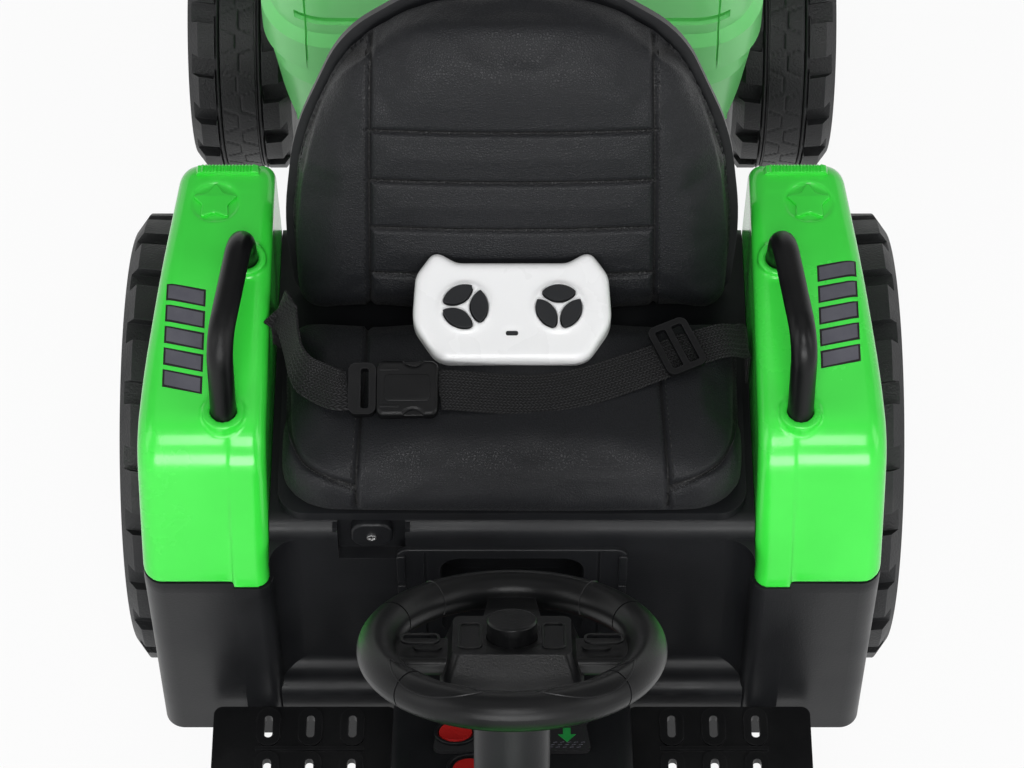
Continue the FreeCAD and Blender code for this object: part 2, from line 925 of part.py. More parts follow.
def access_panel():
    front = rear_axle_y - box_wall_front - rest_gap
    plate = rearward(rectangle(-panel_half, panel_half, panel_low_z, panel_high_z, panel_round),
                     front - panel_thick, front)
    plate = soften(plate, panel_thick / 3, lambda b: near(b.YMax, front - panel_thick))
    tray = rearward(pocket_outline(panel_thick - panel_gap), front - panel_thick / 2, front + pocket_depth)
    panel = plate.fuse(tray).cut(rearward(pocket_outline(0), front - panel_thick - cut_over,
                                          front + pocket_depth - panel_thick))
    for x in (-groove_half, groove_half):
        panel = panel.cut(block(x - groove_size / 2, x + groove_size / 2, front - panel_thick - cut_over,
                                front - panel_thick / 2, panel_low_z - cut_over, panel_high_z - groove_size))
    return panel


# Seat and belt.
def seat_plan(grow):
    front = rear_axle_y - seat_front
    rear = rear_axle_y - seat_rear
    corners = [
        (-seat_half, front, seat_corner_round), (seat_half, front, seat_corner_round),
        (seat_half, rear, seat_rear_round), (-seat_half, rear, seat_rear_round),
    ]
    return inset_corners(corners, -grow) if grow else corners


def seat_crown_centre():
    middle = rear_axle_y - (seat_front + seat_rear) / 2
    return V(0, middle, seat_cushion_z - seat_crown_radius)


def cushion_height(x, y):
    centre = seat_crown_centre()
    flat = (x - centre.x) ** 2 + (y - centre.y) ** 2
    return centre.z + math.sqrt(seat_crown_radius ** 2 - flat)


def groove(centre, crown_radius, axis, offset, half):
    # A sewn channel on a crown: a round bead swept about an axis, half a length to each side.
    middle = centre + axis * offset
    ring = math.sqrt(crown_radius ** 2 - offset ** 2)
    reach = V(0, 0, ring)
    bead = Part.Face(Part.Wire(Part.makeCircle(seam_radius, middle + reach, axis.cross(reach))))
    swing = math.degrees(math.asin(half / ring))
    bead.rotate(middle, axis, -swing)
    return bead.revolve(middle, axis, 2 * swing)


def seat_waists():
    # Two wide rounds that draw the cushion's sides in between its corners.
    reach = seat_half - seat_draw + seat_draw_round
    centre = seat_crown_centre()
    return [Part.makeCylinder(seat_draw_round, seat_cushion_z + cut_over, V(side * reach, centre.y, 0))
            for side in (-1, 1)]


def seat_cushion():
    low = box_top_z + rest_gap + seat_shell_thick + rest_gap
    cushion = upward(seat_plan(0), low, seat_cushion_z + cut_over)
    crown = Part.makeSphere(seat_crown_radius, seat_crown_centre())
    cushion = cushion.common(crown)
    cushion = soften(cushion, seat_edge_round, lambda b: b.ZMin > low + seat_edge_round)
    cushion = soften(cushion, seat_edge_round / 2, lambda b: near(b.ZMax, low))
    for x in (-seat_seam_x, seat_seam_x):
        cushion = cushion.cut(groove(seat_crown_centre(), seat_crown_radius, V(1, 0, 0), x, seat_front))
    return cushion.cut(seat_waists())


def back_outline(grow):
    right = [(seat_half * a, back_height * b, back_height * c) for a, b, c in
             zip(back_half_shares, back_level_shares, back_round_shares)]
    left = [(-half, level, radius) for half, level, radius in reversed(right)]
    corners = right + left
    return inset_corners(corners, -grow) if grow else corners


def on_back(shape):
    # Stands a shape drawn flat up into the leaning backrest.
    shape.rotate(V(0, 0, 0), V(1, 0, 0), 90 - back_tilt)
    shape.translate(V(0, rear_axle_y + back_foot_y, back_foot_z))
    return shape


def back_cushion():
    cushion = upward(back_outline(0), 0, back_thick + cut_over)
    centre = V(0, back_height / 2, back_thick - back_crown_radius)
    cushion = cushion.common(Part.makeSphere(back_crown_radius, centre))
    cushion = soften(cushion, back_edge_round, lambda b: b.ZMin > back_edge_round)
    cushion = soften(cushion, back_edge_round / 2, lambda b: near(b.ZMax, 0))
    for x in (-back_seam_x, back_seam_x):
        cushion = cushion.cut(groove(centre, back_crown_radius, V(1, 0, 0), x, back_height))
    reach = back_seam_x + seam_radius / 2
    for share in back_channel_shares:
        level = back_height * share - centre.y
        cushion = cushion.cut(groove(centre, back_crown_radius, V(0, 1, 0), level, reach))
    return on_back(cushion)


def seat_pivot():
    return V(0, rear_axle_y + hinge_y, box_top_z + hinge_rise)


def seat_shell():
    low = box_top_z + rest_gap
    slab_rear = rear_axle_y + back_foot_y + back_shell_thick
    slab = upward(rectangle(-seat_half, seat_half, rear_axle_y - seat_front + back_shell_reach, slab_rear,
                            seat_rear_round), low, low + seat_shell_thick)
    back = on_back(upward(back_outline(back_shell_reach), -back_shell_thick, -rest_gap))
    keep = block(-overall_width, overall_width, nose_y, tail_y, low, low + back_height + box_top_z)
    pivot = seat_pivot()
    barrel = Part.makeCylinder(hinge_radius, 2 * hinge_half, pivot - V(hinge_half, 0, 0), V(1, 0, 0))
    reach = hinge_half + moving_gap + ear_thick
    pin = Part.makeCylinder(hinge_pin, 2 * reach, pivot - V(reach, 0, 0), V(1, 0, 0))
    web = block(-hinge_half, hinge_half, slab_rear - seat_rear_round, pivot.y, pivot.z - hinge_radius / 2,
                low + seat_shell_thick)
    return slab.fuse([back.common(keep), web, barrel, pin])


def strap(stations):
    # A flat strap lofted through stations of (point, turn in plan, tilt).
    path = Part.BSplineCurve()
    points = [station[0] for station in stations]
    first = (points[1] - points[0]).normalize()
    last = (points[-1] - points[-2]).normalize()
    path.interpolate(Points=points, InitialTangent=first, FinalTangent=last, Scale=False)
    knots = path.getKnots()
    wires = []
    for i in range(strap_steps * (len(stations) - 1) + 1):
        k, part = divmod(i, strap_steps)
        after = min(k + 1, len(stations) - 1)
        share = part / strap_steps
        along = knots[k] + (knots[after] - knots[k]) * share
        point = path.value(along)
        ahead = path.tangent(along)[0]
        turn = math.radians(stations[k][1] + (stations[after][1] - stations[k][1]) * share)
        tilt = math.radians(stations[k][2] + (stations[after][2] - stations[k][2]) * share)
        side = V(math.sin(turn) * math.cos(tilt), math.cos(turn) * math.cos(tilt), math.sin(tilt))
        side = side - ahead * ahead.dot(side)
        side.normalize()
        up = ahead.cross(side)
        half = side * (webbing_width / 2)
        thick = up * (webbing_thick / 2)
        corners = [point - half - thick, point + half - thick, point + half + thick, point - half + thick]
        wires.append(Part.makePolygon(corners + corners[:1]))
    return Part.makeLoft(wires, True, True)


def belt_point(x, y_share, lift_share):
    y = rear_axle_y - seat_front * y_share
    return V(x, y, cushion_height(x, y) + belt_lift * lift_share)


def belt_lean(x):
    # The belt lies tilted back in the lap and flat at the seat's edge.
    return belt_tilt * (1 - abs(x) / seat_half)


def side_points(side, shares, y_share, lean):
    low = box_top_z + seat_shell_thick
    y = rear_axle_y - seat_front * y_share
    drift = math.tan(math.radians(lean))
    points = []
    for level, reach in shares:
        z = low + (seat_cushion_z - low) * level
        points.append((V(side * seat_half * reach, y + drift * (seat_cushion_z - z), z), 0, lean))
    return points


def strap_stations(side, start, shares):
    # A straight lead out of the buckle, then the sweep over the seat.
    lead = start + V(side * strap_lead, 0, 0)
    run = seat_half - side * start.x
    stations = [(start, 0, belt_tilt), (lead, 0, belt_tilt)]
    for along, y, lift, turn, stand in shares:
        x = start.x + side * run * along
        stations.append((belt_point(x, y, lift), turn, belt_lean(x) + stand))
    return stations


def left_strap():
    start = buckle_end(1, buckle_length + strap_end_gap)
    ends = side_points(1, left_side_shares, left_side_share, left_side_lean)
    return strap(strap_stations(1, start, left_strap_shares) + ends)


def right_strap():
    start = buckle_end(-1, plug_length + strap_end_gap)
    ends = side_points(-1, right_side_shares, right_side_share, right_side_lean)
    return strap(strap_stations(-1, start, right_strap_shares) + ends)


def buckle_middle():
    # The join of plug and socket, lifted so that the low edge clears the cushion.
    x = buckle_x - buckle_length / 2
    y = rear_axle_y - seat_front * belt_middle_share
    rise = buckle_width / 2 * math.sin(math.radians(belt_tilt)) + buckle_thick / 2
    return V(x, y, cushion_height(x + buckle_length, y) + rise + panel_gap)


def buckle_end(side, reach):
    return buckle_middle() + V(side * reach, 0, 0)


def on_belt(shape, place, turn, tilt):
    shape.rotate(V(0, 0, 0), V(0, 0, 1), turn)
    shape.rotate(V(0, 0, 0), V(1, 0, 0), tilt)
    shape.translate(place)
    return shape


def buckle_socket():
    half = buckle_width / 2
    shape = upward(rectangle(0, buckle_length, -half, half, buckle_round), -buckle_thick / 2,
                   buckle_thick / 2)
    for side in (-1, 1):
        notch_at = V(buckle_length * buckle_notch_share, side * (half + buckle_notch / 2), -buckle_thick)
        shape = shape.cut(Part.makeCylinder(buckle_notch, buckle_thick + cut_over, notch_at))
    shape = soften(shape, buckle_thick / 4, lambda b: near(b.ZMin, buckle_thick / 2))
    return on_belt(shape, buckle_middle(), 0, belt_tilt)


def buckle_plug():
    half = buckle_width / 2 - plug_side_inset
    shape = upward(rectangle(-plug_length, -rest_gap, -half, half, buckle_round), -plug_thick / 2,
                   plug_thick / 2)
    slot = rectangle(-plug_slot_x - plug_slot / 2, plug_slot / 2 - plug_slot_x, -webbing_width / 2,
                     webbing_width / 2, plug_slot_round)
    return on_belt(shape.cut(upward(slot, -plug_thick, plug_thick)), buckle_middle(), 0, belt_tilt)


def belt_slider():
    half = slider_width / 2
    length = slider_length / 2
    shape = upward(rectangle(-length, length, -half, half, buckle_round), 0, slider_thick)
    slot = upward(rectangle(slider_bar / 2, length - slider_bar, slider_bar - half, half - slider_bar,
                            slider_slot_round), -slider_thick, slider_thick + cut_over)
    shape = shape.cut(slot).cut(mirrored(slot))
    start = buckle_end(1, buckle_length).x
    x = start + (seat_half - start) * slider_share
    y = rear_axle_y - seat_front * slider_back_share
    place = V(x, y, cushion_height(x, y) + slider_lift)
    return on_belt(shape, place, slider_turn, belt_lean(x))


# Footboards and pedal.
def board_slots(side, rows):
    places = []
    for row in range(rows):
        for column in range(slot_columns):
            x = side * (slot_first_x + slot_pitch_x * column)
            places.append((x, rear_axle_y - slot_first_y - slot_pitch_y * row))
    return places


def footboard(side, rows):
    front = rear_axle_y - board_front
    rear = rear_axle_y - fender_front - fender_step - rest_gap
    inner = console_half + panel_gap
    low = board_z - board_thick
    high = board_z + surround_height
    x0 = min(side * inner, side * board_outer)
    x1 = max(side * inner, side * board_outer)
    plate = upward(rectangle(x0, x1, front, rear, board_round), low, board_z)
    edge = sorted((side * board_outer, side * (board_outer - wall)))
    extras = [block(edge[0], edge[1], front + board_round, rear - board_round, board_z - board_skirt,
                    low + wall / 2)]
    for x, y in board_slots(side, rows):
        extras.append(upward(stadium(x, y, surround_width, surround_length), low, high))
    first = slot_first_x - surround_width / 2
    last = slot_first_x + slot_pitch_x * (slot_columns - 1) + surround_width / 2
    span = sorted((side * first, side * last))
    for row in range(rows - 1):
        y = rear_axle_y - slot_first_y - slot_pitch_y * (row + 0.5)
        extras.append(block(span[0], span[1], y - rib_thick / 2, y + rib_thick / 2, low, high))
    plate = plate.fuse(extras)
    slots = [upward(stadium(x, y, slot_width, slot_length), low - cut_over, high + cut_over)
             for x, y in board_slots(side, rows)]
    return plate.cut(Part.makeCompound(slots))


def pedal_pivot():
    return V(pedal_x, rear_axle_y - pedal_pivot_y, board_z + pedal_pivot_rise)


def right_footboard():
    board = footboard(-1, pedal_rows)
    pivot = pedal_pivot()
    reach = pedal_barrel + rest_gap
    for side in (-1, 1):
        near_x = pedal_x + side * (pedal_half + moving_gap)
        far_x = near_x + side * ear_thick
        ear = block(min(near_x, far_x), max(near_x, far_x), pivot.y - reach, pivot.y + reach,
                    board_z - board_thick / 2, pivot.z + reach)
        board = board.fuse(ear)
    hole = Part.makeCylinder(pedal_pin + shaft_gap, 2 * board_outer, V(-2 * board_outer, pivot.y, pivot.z),
                             V(1, 0, 0))
    return board.cut(hole)


def accelerator_pedal():
    plate = upward(rectangle(-pedal_half, pedal_half, -pedal_length, 0, board_round), -pedal_thick / 2,
                   pedal_thick / 2)
    plate = soften(plate, pedal_thick / 4, lambda b: near(b.ZMin, pedal_thick / 2))
    ribs = []
    steps = slot_rows
    for k in range(1, steps):
        y = -pedal_length * k / steps
        ribs.append(block(-pedal_half / 2 - board_round, pedal_half / 2 + board_round, y - rib_thick / 2,
                          y + rib_thick / 2, 0, pedal_thick / 2 + pedal_tread))
    barrel = Part.makeCylinder(pedal_barrel, 2 * pedal_half, V(-pedal_half, 0, 0), V(1, 0, 0))
    reach = pedal_half + moving_gap + ear_thick
    pin = Part.makeCylinder(pedal_pin, 2 * reach, V(-reach, 0, 0), V(1, 0, 0))
    pedal = plate.fuse(ribs + [barrel, pin])
    pedal.rotate(V(0, 0, 0), V(1, 0, 0), -pedal_slope)
    pedal.translate(pedal_pivot())
    return pedal


# Console, dash and switches.
def console_side(floor):
    heel = rear_axle_y - box_sill_front - rest_gap
    face = rear_axle_y - box_wall_front - panel_thick - panel_gap
    front = rear_axle_y - cowl_front
    shelf = box_sill_z + rest_gap
    return [
        (heel, floor, 0), (heel, shelf, 0), (face, shelf, box_sill_round),
        (face, console_heel_z, console_round),
        (rear_axle_y - console_panel_rear, console_panel_low_z, console_round),
        (rear_axle_y - cowl_start, cowl_start_z, 0), (front, cowl_start_z, 0), (front, floor, 0),
    ]


def cowl_side(floor):
    front = rear_axle_y - cowl_front
    start = rear_axle_y - cowl_start
    return [
        (start, floor, 0), (start, cowl_start_z, cowl_start_round),
        (rear_axle_y - cowl_top_y, cowl_top_z, cowl_top_round), (front, cowl_top_z, 0), (front, floor, 0),
    ]


def console_form(gap):
    # The tunnel and the wider cowl before it, drawn a gap inside their outer skin.
    depth = gap + cut_over if gap else 0
    front = rear_axle_y - cowl_front + wall + panel_gap
    start = rear_axle_y - cowl_start - gap
    tunnel = across(inset_corners(console_side(box_base_z - depth), gap), gap - console_half,
                    console_half - gap)
    tunnel = soften(tunnel, console_edge_round - gap,
                    lambda b: near(b.XMin, b.XMax) and b.ZMin > box_sill_z + cut_over and b.YMin > start)
    cowl = across(inset_corners(cowl_side(cowl_base_z - depth), gap), gap - cowl_half, cowl_half - gap)
    low = cowl.BoundBox.ZMin + panel_gap
    cowl = soften(cowl, cowl_edge_round - gap,
                  lambda b: near(b.XMin, b.XMax) and b.YMax > front and b.ZMax > low)
    return tunnel.fuse(cowl)


def dash_angle():
    return math.degrees(math.atan2(cowl_start_z - console_panel_low_z, cowl_start - console_panel_rear))


def on_dash(shape):
    # Lays a shape drawn flat on the sloping dash.
    shape.rotate(V(0, 0, 0), V(1, 0, 0), -dash_angle())
    shape.translate(V(0, rear_axle_y - console_panel_rear, console_panel_low_z))
    return shape


def console():
    front = rear_axle_y - cowl_front
    mouth = block(wall - console_half, console_half - wall, front - cut_over, front + wall + cut_over,
                  box_base_z - cut_over, cowl_top_z - wall)
    shell = console_form(0).cut(console_form(wall).fuse(mouth))
    holes = []
    for x, back in ((light_x, light_back), (direction_x, direction_back)):
        holes.append(Part.makeCylinder(switch_radius + moving_gap, console_edge_round + switch_depth,
                                       V(x, -back, -switch_depth)))
    holes.append(Part.makeCylinder(start_radius + moving_gap, console_edge_round + switch_depth,
                                   V(start_x, -start_back, -switch_depth)))
    for hole in holes:
        shell = shell.cut(on_dash(hole))
    passage = Part.makeCylinder(shaft_hole_radius, cowl_front, wheel_centre(), column_axis() * -1)
    return shell.cut(passage)


def switch_panel():
    corners = [
        (-plate_half_rear, -plate_inset, plate_round), (plate_half_rear, -plate_inset, plate_round),
        (plate_half_front, -plate_length, plate_round), (-plate_half_front, -plate_length, plate_round),
    ]
    plate = upward(corners, rest_gap, rest_gap + plate_thick)
    holes = []
    for x, y in ((light_x, light_back), (direction_x, direction_back)):
        plate = plate.fuse(Part.makeCylinder(switch_radius + moving_gap + switch_bezel,
                                             plate_thick + switch_bezel
                                             / 2, V(x, -y, rest_gap)))
        holes.append(Part.makeCylinder(switch_radius + moving_gap, 2 * switch_depth,
                                       V(x, -y, -switch_depth)))
    return on_dash(plate.cut(Part.makeCompound(holes)))


def rocker_switch(x, back):
    # A slice of a ball, so it rocks in its round hole, with a saddle top.
    pivot = V(x, -back, rest_gap + plate_thick / 2)
    ball = Part.makeSphere(switch_radius, pivot)
    slab = block(x - 2 * switch_radius, x + 2 * switch_radius, -back - 2 * switch_radius,
                 -back + 2 * switch_radius,
                 pivot.z - switch_depth / 2, pivot.z + switch_proud + plate_thick / 2)
    saddle_radius = 4 * switch_radius
    saddle = Part.makeCylinder(saddle_radius, 4 * switch_radius, V(x - 2 * switch_radius, -back, pivot.z
                               + plate_thick / 2 + switch_proud / 2 + saddle_radius), V(1, 0, 0))
    pin = Part.makeCylinder(switch_pivot, 2 * switch_radius, pivot - V(switch_radius, 0, 0), V(1, 0, 0))
    return on_dash(ball.common(slab).cut([saddle, pin]))


def start_button():
    knob = Part.makeCylinder(start_radius, start_depth + start_proud, V(start_x, -start_back, -start_depth))
    knob = soften(knob, start_proud / 3, lambda b: near(b.ZMin, start_proud))
    return on_dash(knob)


# Steering.
def wheel_centre():
    return V(0, rear_axle_y - wheel_back, wheel_z)


def column_axis():
    tilt = math.radians(column_tilt)
    return V(0, math.sin(tilt), math.cos(tilt))


def on_column(shape):
    # Tips a shape drawn flat over to the steering axis.
    shape.rotate(V(0, 0, 0), V(1, 0, 0), -column_tilt)
    shape.translate(wheel_centre())
    return shape


def hub_section(z, half_x, half_y):
    corners = rectangle(-half_x, half_x, -half_y, half_y, hub_round)
    return rounded_wire(corners, lambda u, v: V(u, v, z))


def rim_seams():
    seams = []
    for angle in rim_seam_angles:
        tube = Part.makeCylinder(wheel_rim_radius + cut_over, seam_width, V(wheel_ring_radius, 0, 0),
                                 V(0, 1, 0))
        core = Part.makeCylinder(wheel_rim_radius - seam_depth, seam_width, V(wheel_ring_radius, 0, 0),
                                 V(0, 1, 0))
        seam = tube.cut(core)
        seam.rotate(V(0, 0, 0), V(0, 0, 1), angle)
        seams.append(seam)
    return Part.makeCompound(seams)


def steering_wheel():
    rim = Part.makeTorus(wheel_ring_radius, wheel_rim_radius).cut(rim_seams())
    bar = block(-wheel_ring_radius, wheel_ring_radius, -spoke_width / 2, spoke_width / 2, -spoke_thick, 0)
    bar = soften(bar, spoke_thick / 3, lambda b: b.XLength > wheel_ring_radius)
    lobe = upward([(-rear_spoke_wide / 2, 0, 0), (rear_spoke_wide / 2, 0, 0),
                   (rear_spoke_narrow / 2, wheel_ring_radius, 0), (-rear_spoke_narrow / 2,
                                                                   wheel_ring_radius, 0)],
                  -spoke_thick, 0)
    hub = Part.makeLoft([hub_section(-hub_bottom, hub_half_x + hub_flare, hub_half_y + hub_flare),
                         hub_section(hub_top, hub_half_x, hub_half_y)], True, True)
    skirt = Part.makeCylinder(hub_skirt_radius, hub_skirt_drop - hub_bottom + wall, V(0, 0, -hub_skirt_drop))
    wheel = rim.fuse([bar, lobe, hub, skirt])
    for side in (-1, 1):
        reach = thumb_length / 2
        thumb = upward(rectangle(side * thumb_x - reach, side * thumb_x + reach, -thumb_width / 2,
                                 thumb_width / 2,
                                 thumb_width / 2 - rest_gap), -spoke_thick / 2, seam_width)
        wheel = wheel.fuse(thumb)
    floor = hub_top - dish_depth - horn_stem_depth
    wheel = wheel.cut(Part.makeSphere(dish_radius, V(0, 0, hub_top - dish_depth + dish_radius)))
    wheel = wheel.cut(Part.makeCylinder(horn_radius + moving_gap, hub_top + cut_over, V(0, 0, floor)))
    socket = floor - shaft_socket
    wheel = wheel.cut(Part.makeCylinder(shaft_radius + shaft_gap, hub_skirt_drop + socket + cut_over,
                                        V(0, 0, -hub_skirt_drop - cut_over)))
    return on_column(wheel)


def horn_button():
    floor = hub_top - dish_depth - horn_stem_depth + horn_travel + moving_gap
    knob = Part.makeCylinder(horn_radius, hub_top + horn_height - floor, V(0, 0, floor))
    knob = soften(knob, wall / 2, lambda b: near(b.ZMin, hub_top + horn_height))
    return on_column(knob)


def steering_shaft():
    axis = column_axis()
    top = wheel_centre() + axis * (hub_top - dish_depth - horn_stem_depth - shaft_socket - rest_gap)
    corner = wheel_centre() - axis * ((wheel_z - crank_z) / axis.z)
    tip = corner + V(0, axis.z, -axis.y) * crank_reach
    return pipe([top, corner, tip, tip - V(0, 0, crank_drop)], shaft_radius, shaft_bend)


def crank_tip():
    axis = column_axis()
    corner = wheel_centre() - axis * ((wheel_z - crank_z) / axis.z)
    return corner + V(0, axis.z, -axis.y) * crank_reach


def steering_column():
    axis = column_axis()
    top = wheel_centre() - axis * (hub_skirt_drop + moving_gap)
    tube = Part.makeCylinder(column_radius, cowl_top_z / 2, top, axis * -1)
    tube = tube.cut(Part.makeCylinder(shaft_radius + shaft_gap, cowl_top_z, top + axis * cut_over,
                                      axis * -1))
    foot = tube.cut(console_form(-rest_gap))
    return max(foot.Solids, key=lambda solid: solid.BoundBox.ZMax)


# Front axle and linkage.
def front_axle_beam():
    z = small_wheel_radius
    web_x = kingpin_x - beam_web
    ear_low = z + knuckle_half + ear_gap
    beam = block(-web_x, web_x, front_axle_y - beam_half_y, front_axle_y + beam_half_y, z - beam_half_z, z
                 + beam_half_z)
    pad = block(-beam_pad_half, beam_pad_half, front_axle_y - beam_half_y, front_axle_y + beam_half_y, z,
                block_low_z - rest_gap)
    beam = beam.fuse(pad)
    for side in (-1, 1):
        web = sorted((side * web_x, side * (web_x - ear_height)))
        beam = beam.fuse(block(web[0], web[1], front_axle_y - beam_half_y, front_axle_y + beam_half_y,
                               z - knuckle_half - ear_gap - ear_height, ear_low + ear_height))
        span = sorted((side * (web_x - ear_height), side * kingpin_x))
        for low in (ear_low, z - knuckle_half - ear_gap - ear_height):
            ear = block(span[0], span[1], front_axle_y - ear_radius, front_axle_y + ear_radius, low,
                        low + ear_height)
            ear = ear.fuse(Part.makeCylinder(ear_radius, ear_height, V(side * kingpin_x, front_axle_y, low)))
            beam = beam.fuse(ear)
        beam = beam.cut(Part.makeCylinder(kingpin_radius + shaft_gap, 2 * z,
                                          V(side * kingpin_x, front_axle_y, 0)))
    return beam.removeSplitter()


def left_knuckle():
    z = small_wheel_radius
    reach = knuckle_half + ear_gap + ear_height + kingpin_tail
    post = Part.makeCylinder(knuckle_radius, 2 * knuckle_half, V(kingpin_x, front_axle_y, z - knuckle_half))
    pin = Part.makeCylinder(kingpin_radius, 2 * reach, V(kingpin_x, front_axle_y, z - reach))
    end = front_track / 2 - hub_face_depth + axle_end_proud
    stub = Part.makeCylinder(axle_radius, end - kingpin_x, V(kingpin_x, front_axle_y, z), V(1, 0, 0))
    shoulder = front_track / 2 - small_wheel_width + hub_face_depth - moving_gap
    spacer = Part.makeCylinder(spacer_radius, shoulder - kingpin_x, V(kingpin_x, front_axle_y, z),
                               V(1, 0, 0))
    arm_low = arm_top_z - arm_thick
    tip = front_axle_y + crank_reach
    arm = block(kingpin_x - arm_width / 2, kingpin_x + arm_width / 2, front_axle_y, tip, arm_low, arm_top_z)
    eye = Part.makeCylinder(arm_width / 2, arm_thick, V(kingpin_x, tip, arm_low))
    stud = Part.makeCylinder(arm_pin_radius, arm_thick + arm_pin_height, V(kingpin_x, tip, arm_low))
    return post.fuse([pin, stub, spacer, arm, eye, stud])


def tie_rod():
    low = arm_top_z + moving_gap
    y = front_axle_y + crank_reach
    bar = block(-kingpin_x, kingpin_x, y - tie_width / 2, y + tie_width / 2, low, low + tie_thick)
    pieces = []
    for side in (-1, 1):
        pieces.append(Part.makeCylinder(tie_width / 2, tie_thick, V(side * kingpin_x, y, low)))
    tip = crank_tip()
    end_radius = tongue_hole_radius + rib_thick
    pieces.append(block(-end_radius, end_radius, y, tip.y, low, low + tie_thick))
    pieces.append(Part.makeCylinder(end_radius, tie_thick, V(0, tip.y, low)))
    bar = bar.fuse(pieces)
    for side in (-1, 1):
        bar = bar.cut(Part.makeCylinder(arm_pin_radius + shaft_gap, low,
                                        V(side * kingpin_x, y, low / 2 + tie_thick)))
    return bar.cut(Part.makeCylinder(tongue_hole_radius, low,
                                     V(0, tip.y, low / 2 + tie_thick))).removeSplitter()


# Chassis, hood and nose.
def chassis():
    front = rear_axle_y - cowl_front
    pan_top = box_base_z - rest_gap
    pan_low = pan_top - pan_thick
    rear = rear_axle_y + box_rear
    wide_front = rear_axle_y - box_sill_front
    pieces = [block(-pan_half, pan_half, wide_front, rear, pan_low, pan_top)]
    body = block(-console_half, console_half, front - bulkhead_thick, wide_front, pan_low, pan_top)
    for side in (-1, 1):
        rib = sorted((side * pan_rib_x, side * (pan_rib_x + pan_thick)))
        pieces.append(block(rib[0], rib[1], front, rear, pan_low - pan_rib, pan_low + pan_thick / 2))
    bulkhead = block(-console_half, console_half, front - bulkhead_thick, front - rest_gap, pan_low,
                     block_flange_z)
    window = block(-link_window_half, link_window_half, front - bulkhead_thick - cut_over, front + cut_over,
                   link_window_low_z, link_window_high_z)
    pieces.append(bulkhead.cut(window))
    nose = nose_y + block_front_gap
    engine = across([(nose, block_low_z, block_front_gap), (nose, block_flange_z, 0),
                     (front - rest_gap, block_flange_z, 0), (front - rest_gap, block_low_z, 0)],
                    -block_half, block_half)
    flange = block(-cowl_half, cowl_half, nose, front - rest_gap, block_flange_z, hood_base_z - rest_gap)
    body = body.fuse(pieces + [engine, flange])
    passage = Part.makeCylinder(shaft_hole_radius, cowl_front, wheel_centre(), column_axis() * -1)
    return body.cut(passage).removeSplitter()


def hood_side(floor, rear):
    front = nose_y + hood_front_gap
    return [
        (front, floor, 0), (front, hood_nose_z, hood_nose_round), (rear, hood_rear_z, 0), (rear, floor, 0),
    ]


def hood_form(gap):
    rear = rear_axle_y - cowl_front - panel_gap
    if gap:
        side = inset_corners(hood_side(hood_base_z - gap - cut_over, rear + gap + cut_over), gap)
    else:
        side = hood_side(hood_base_z, rear)
    form = across(side, gap - cowl_half, cowl_half - gap)
    low = form.BoundBox.ZMin
    return soften(form, hood_edge_round - gap, lambda b: near(b.XMin, b.XMax) and b.ZMax > low + panel_gap
                  and b.YMin < rear - panel_gap)


def hood():
    shell = hood_form(0).cut(hood_form(wall))
    start = rear_axle_y - cowl_front - louvre_back
    cuts = []
    for k in range(louvre_count):
        z = louvre_low_z + louvre_pitch * k
        cuts.append(block(-overall_width, overall_width, start, start + louvre_length, z, z + louvre_height))
    return shell.cut(Part.makeCompound(cuts))


def grille():
    back = nose_y + hood_front_gap - rest_gap
    plate = rearward(rectangle(-grille_half, grille_half, grille_low_z, grille_high_z, grille_round),
                     nose_y, back)
    plate = soften(plate, wall / 2, lambda b: near(b.YMax, nose_y))
    low = grille_low_z + grille_slot_margin
    high = grille_high_z - grille_slot_margin
    cuts = []
    for k in range(grille_slots):
        x = (k - (grille_slots - 1) / 2) * grille_pitch
        cuts.append(block(x - grille_slot / 2, x + grille_slot / 2, nose_y - cut_over,
                          nose_y + grille_slot_depth,
                          low, high))
    for x in (-lamp_x, lamp_x):
        cuts.append(Part.makeCylinder(lamp_radius + rest_gap, hood_front_gap + 2 * cut_over,
                                      V(x, nose_y - cut_over, lamp_z), V(0, 1, 0)))
    return plate.cut(Part.makeCompound(cuts))


def headlights():
    back = nose_y + hood_front_gap - rest_gap
    lamps = []
    for x in (-lamp_x, lamp_x):
        front = nose_y + lamp_recess
        lamp = Part.makeCylinder(lamp_radius, back - front, V(x, front, lamp_z), V(0, 1, 0))
        lamps.append(soften(lamp, lamp_recess, lambda b: near(b.YMax, front)))
    return Part.makeCompound(lamps)


def exhaust_stack():
    y = rear_axle_y - stack_y
    foot = hood_nose_z
    pipe_body = Part.makeCylinder(stack_radius, stack_top_z - foot, V(stack_x, y, foot))
    base = Part.makeCylinder(stack_base_radius, hood_rear_z - foot + stack_base_height / 2,
                             V(stack_x, y, foot))
    base = soften(base, stack_base_height / 3, lambda b: near(b.ZMin, hood_rear_z + stack_base_height / 2))
    stack = pipe_body.fuse(base).cut(hood_form(0))
    stack = max(stack.Solids, key=lambda solid: solid.BoundBox.ZMax)
    bore = Part.makeCylinder(stack_bore, stack_top_z, V(stack_x, y, hood_rear_z + 2 * stack_base_height))
    stack = stack.cut(bore)
    slant = Part.makeBox(2 * stack_top_z, 2 * stack_top_z, stack_top_z,
                         V(stack_x - stack_top_z, -stack_top_z, 0))
    slant.rotate(V(0, 0, 0), V(1, 0, 0), -stack_slant)
    slant.translate(V(0, y, stack_top_z - stack_radius))
    stack = stack.cut(slant)
    stack.translate(V(0, 0, rest_gap))
    return stack


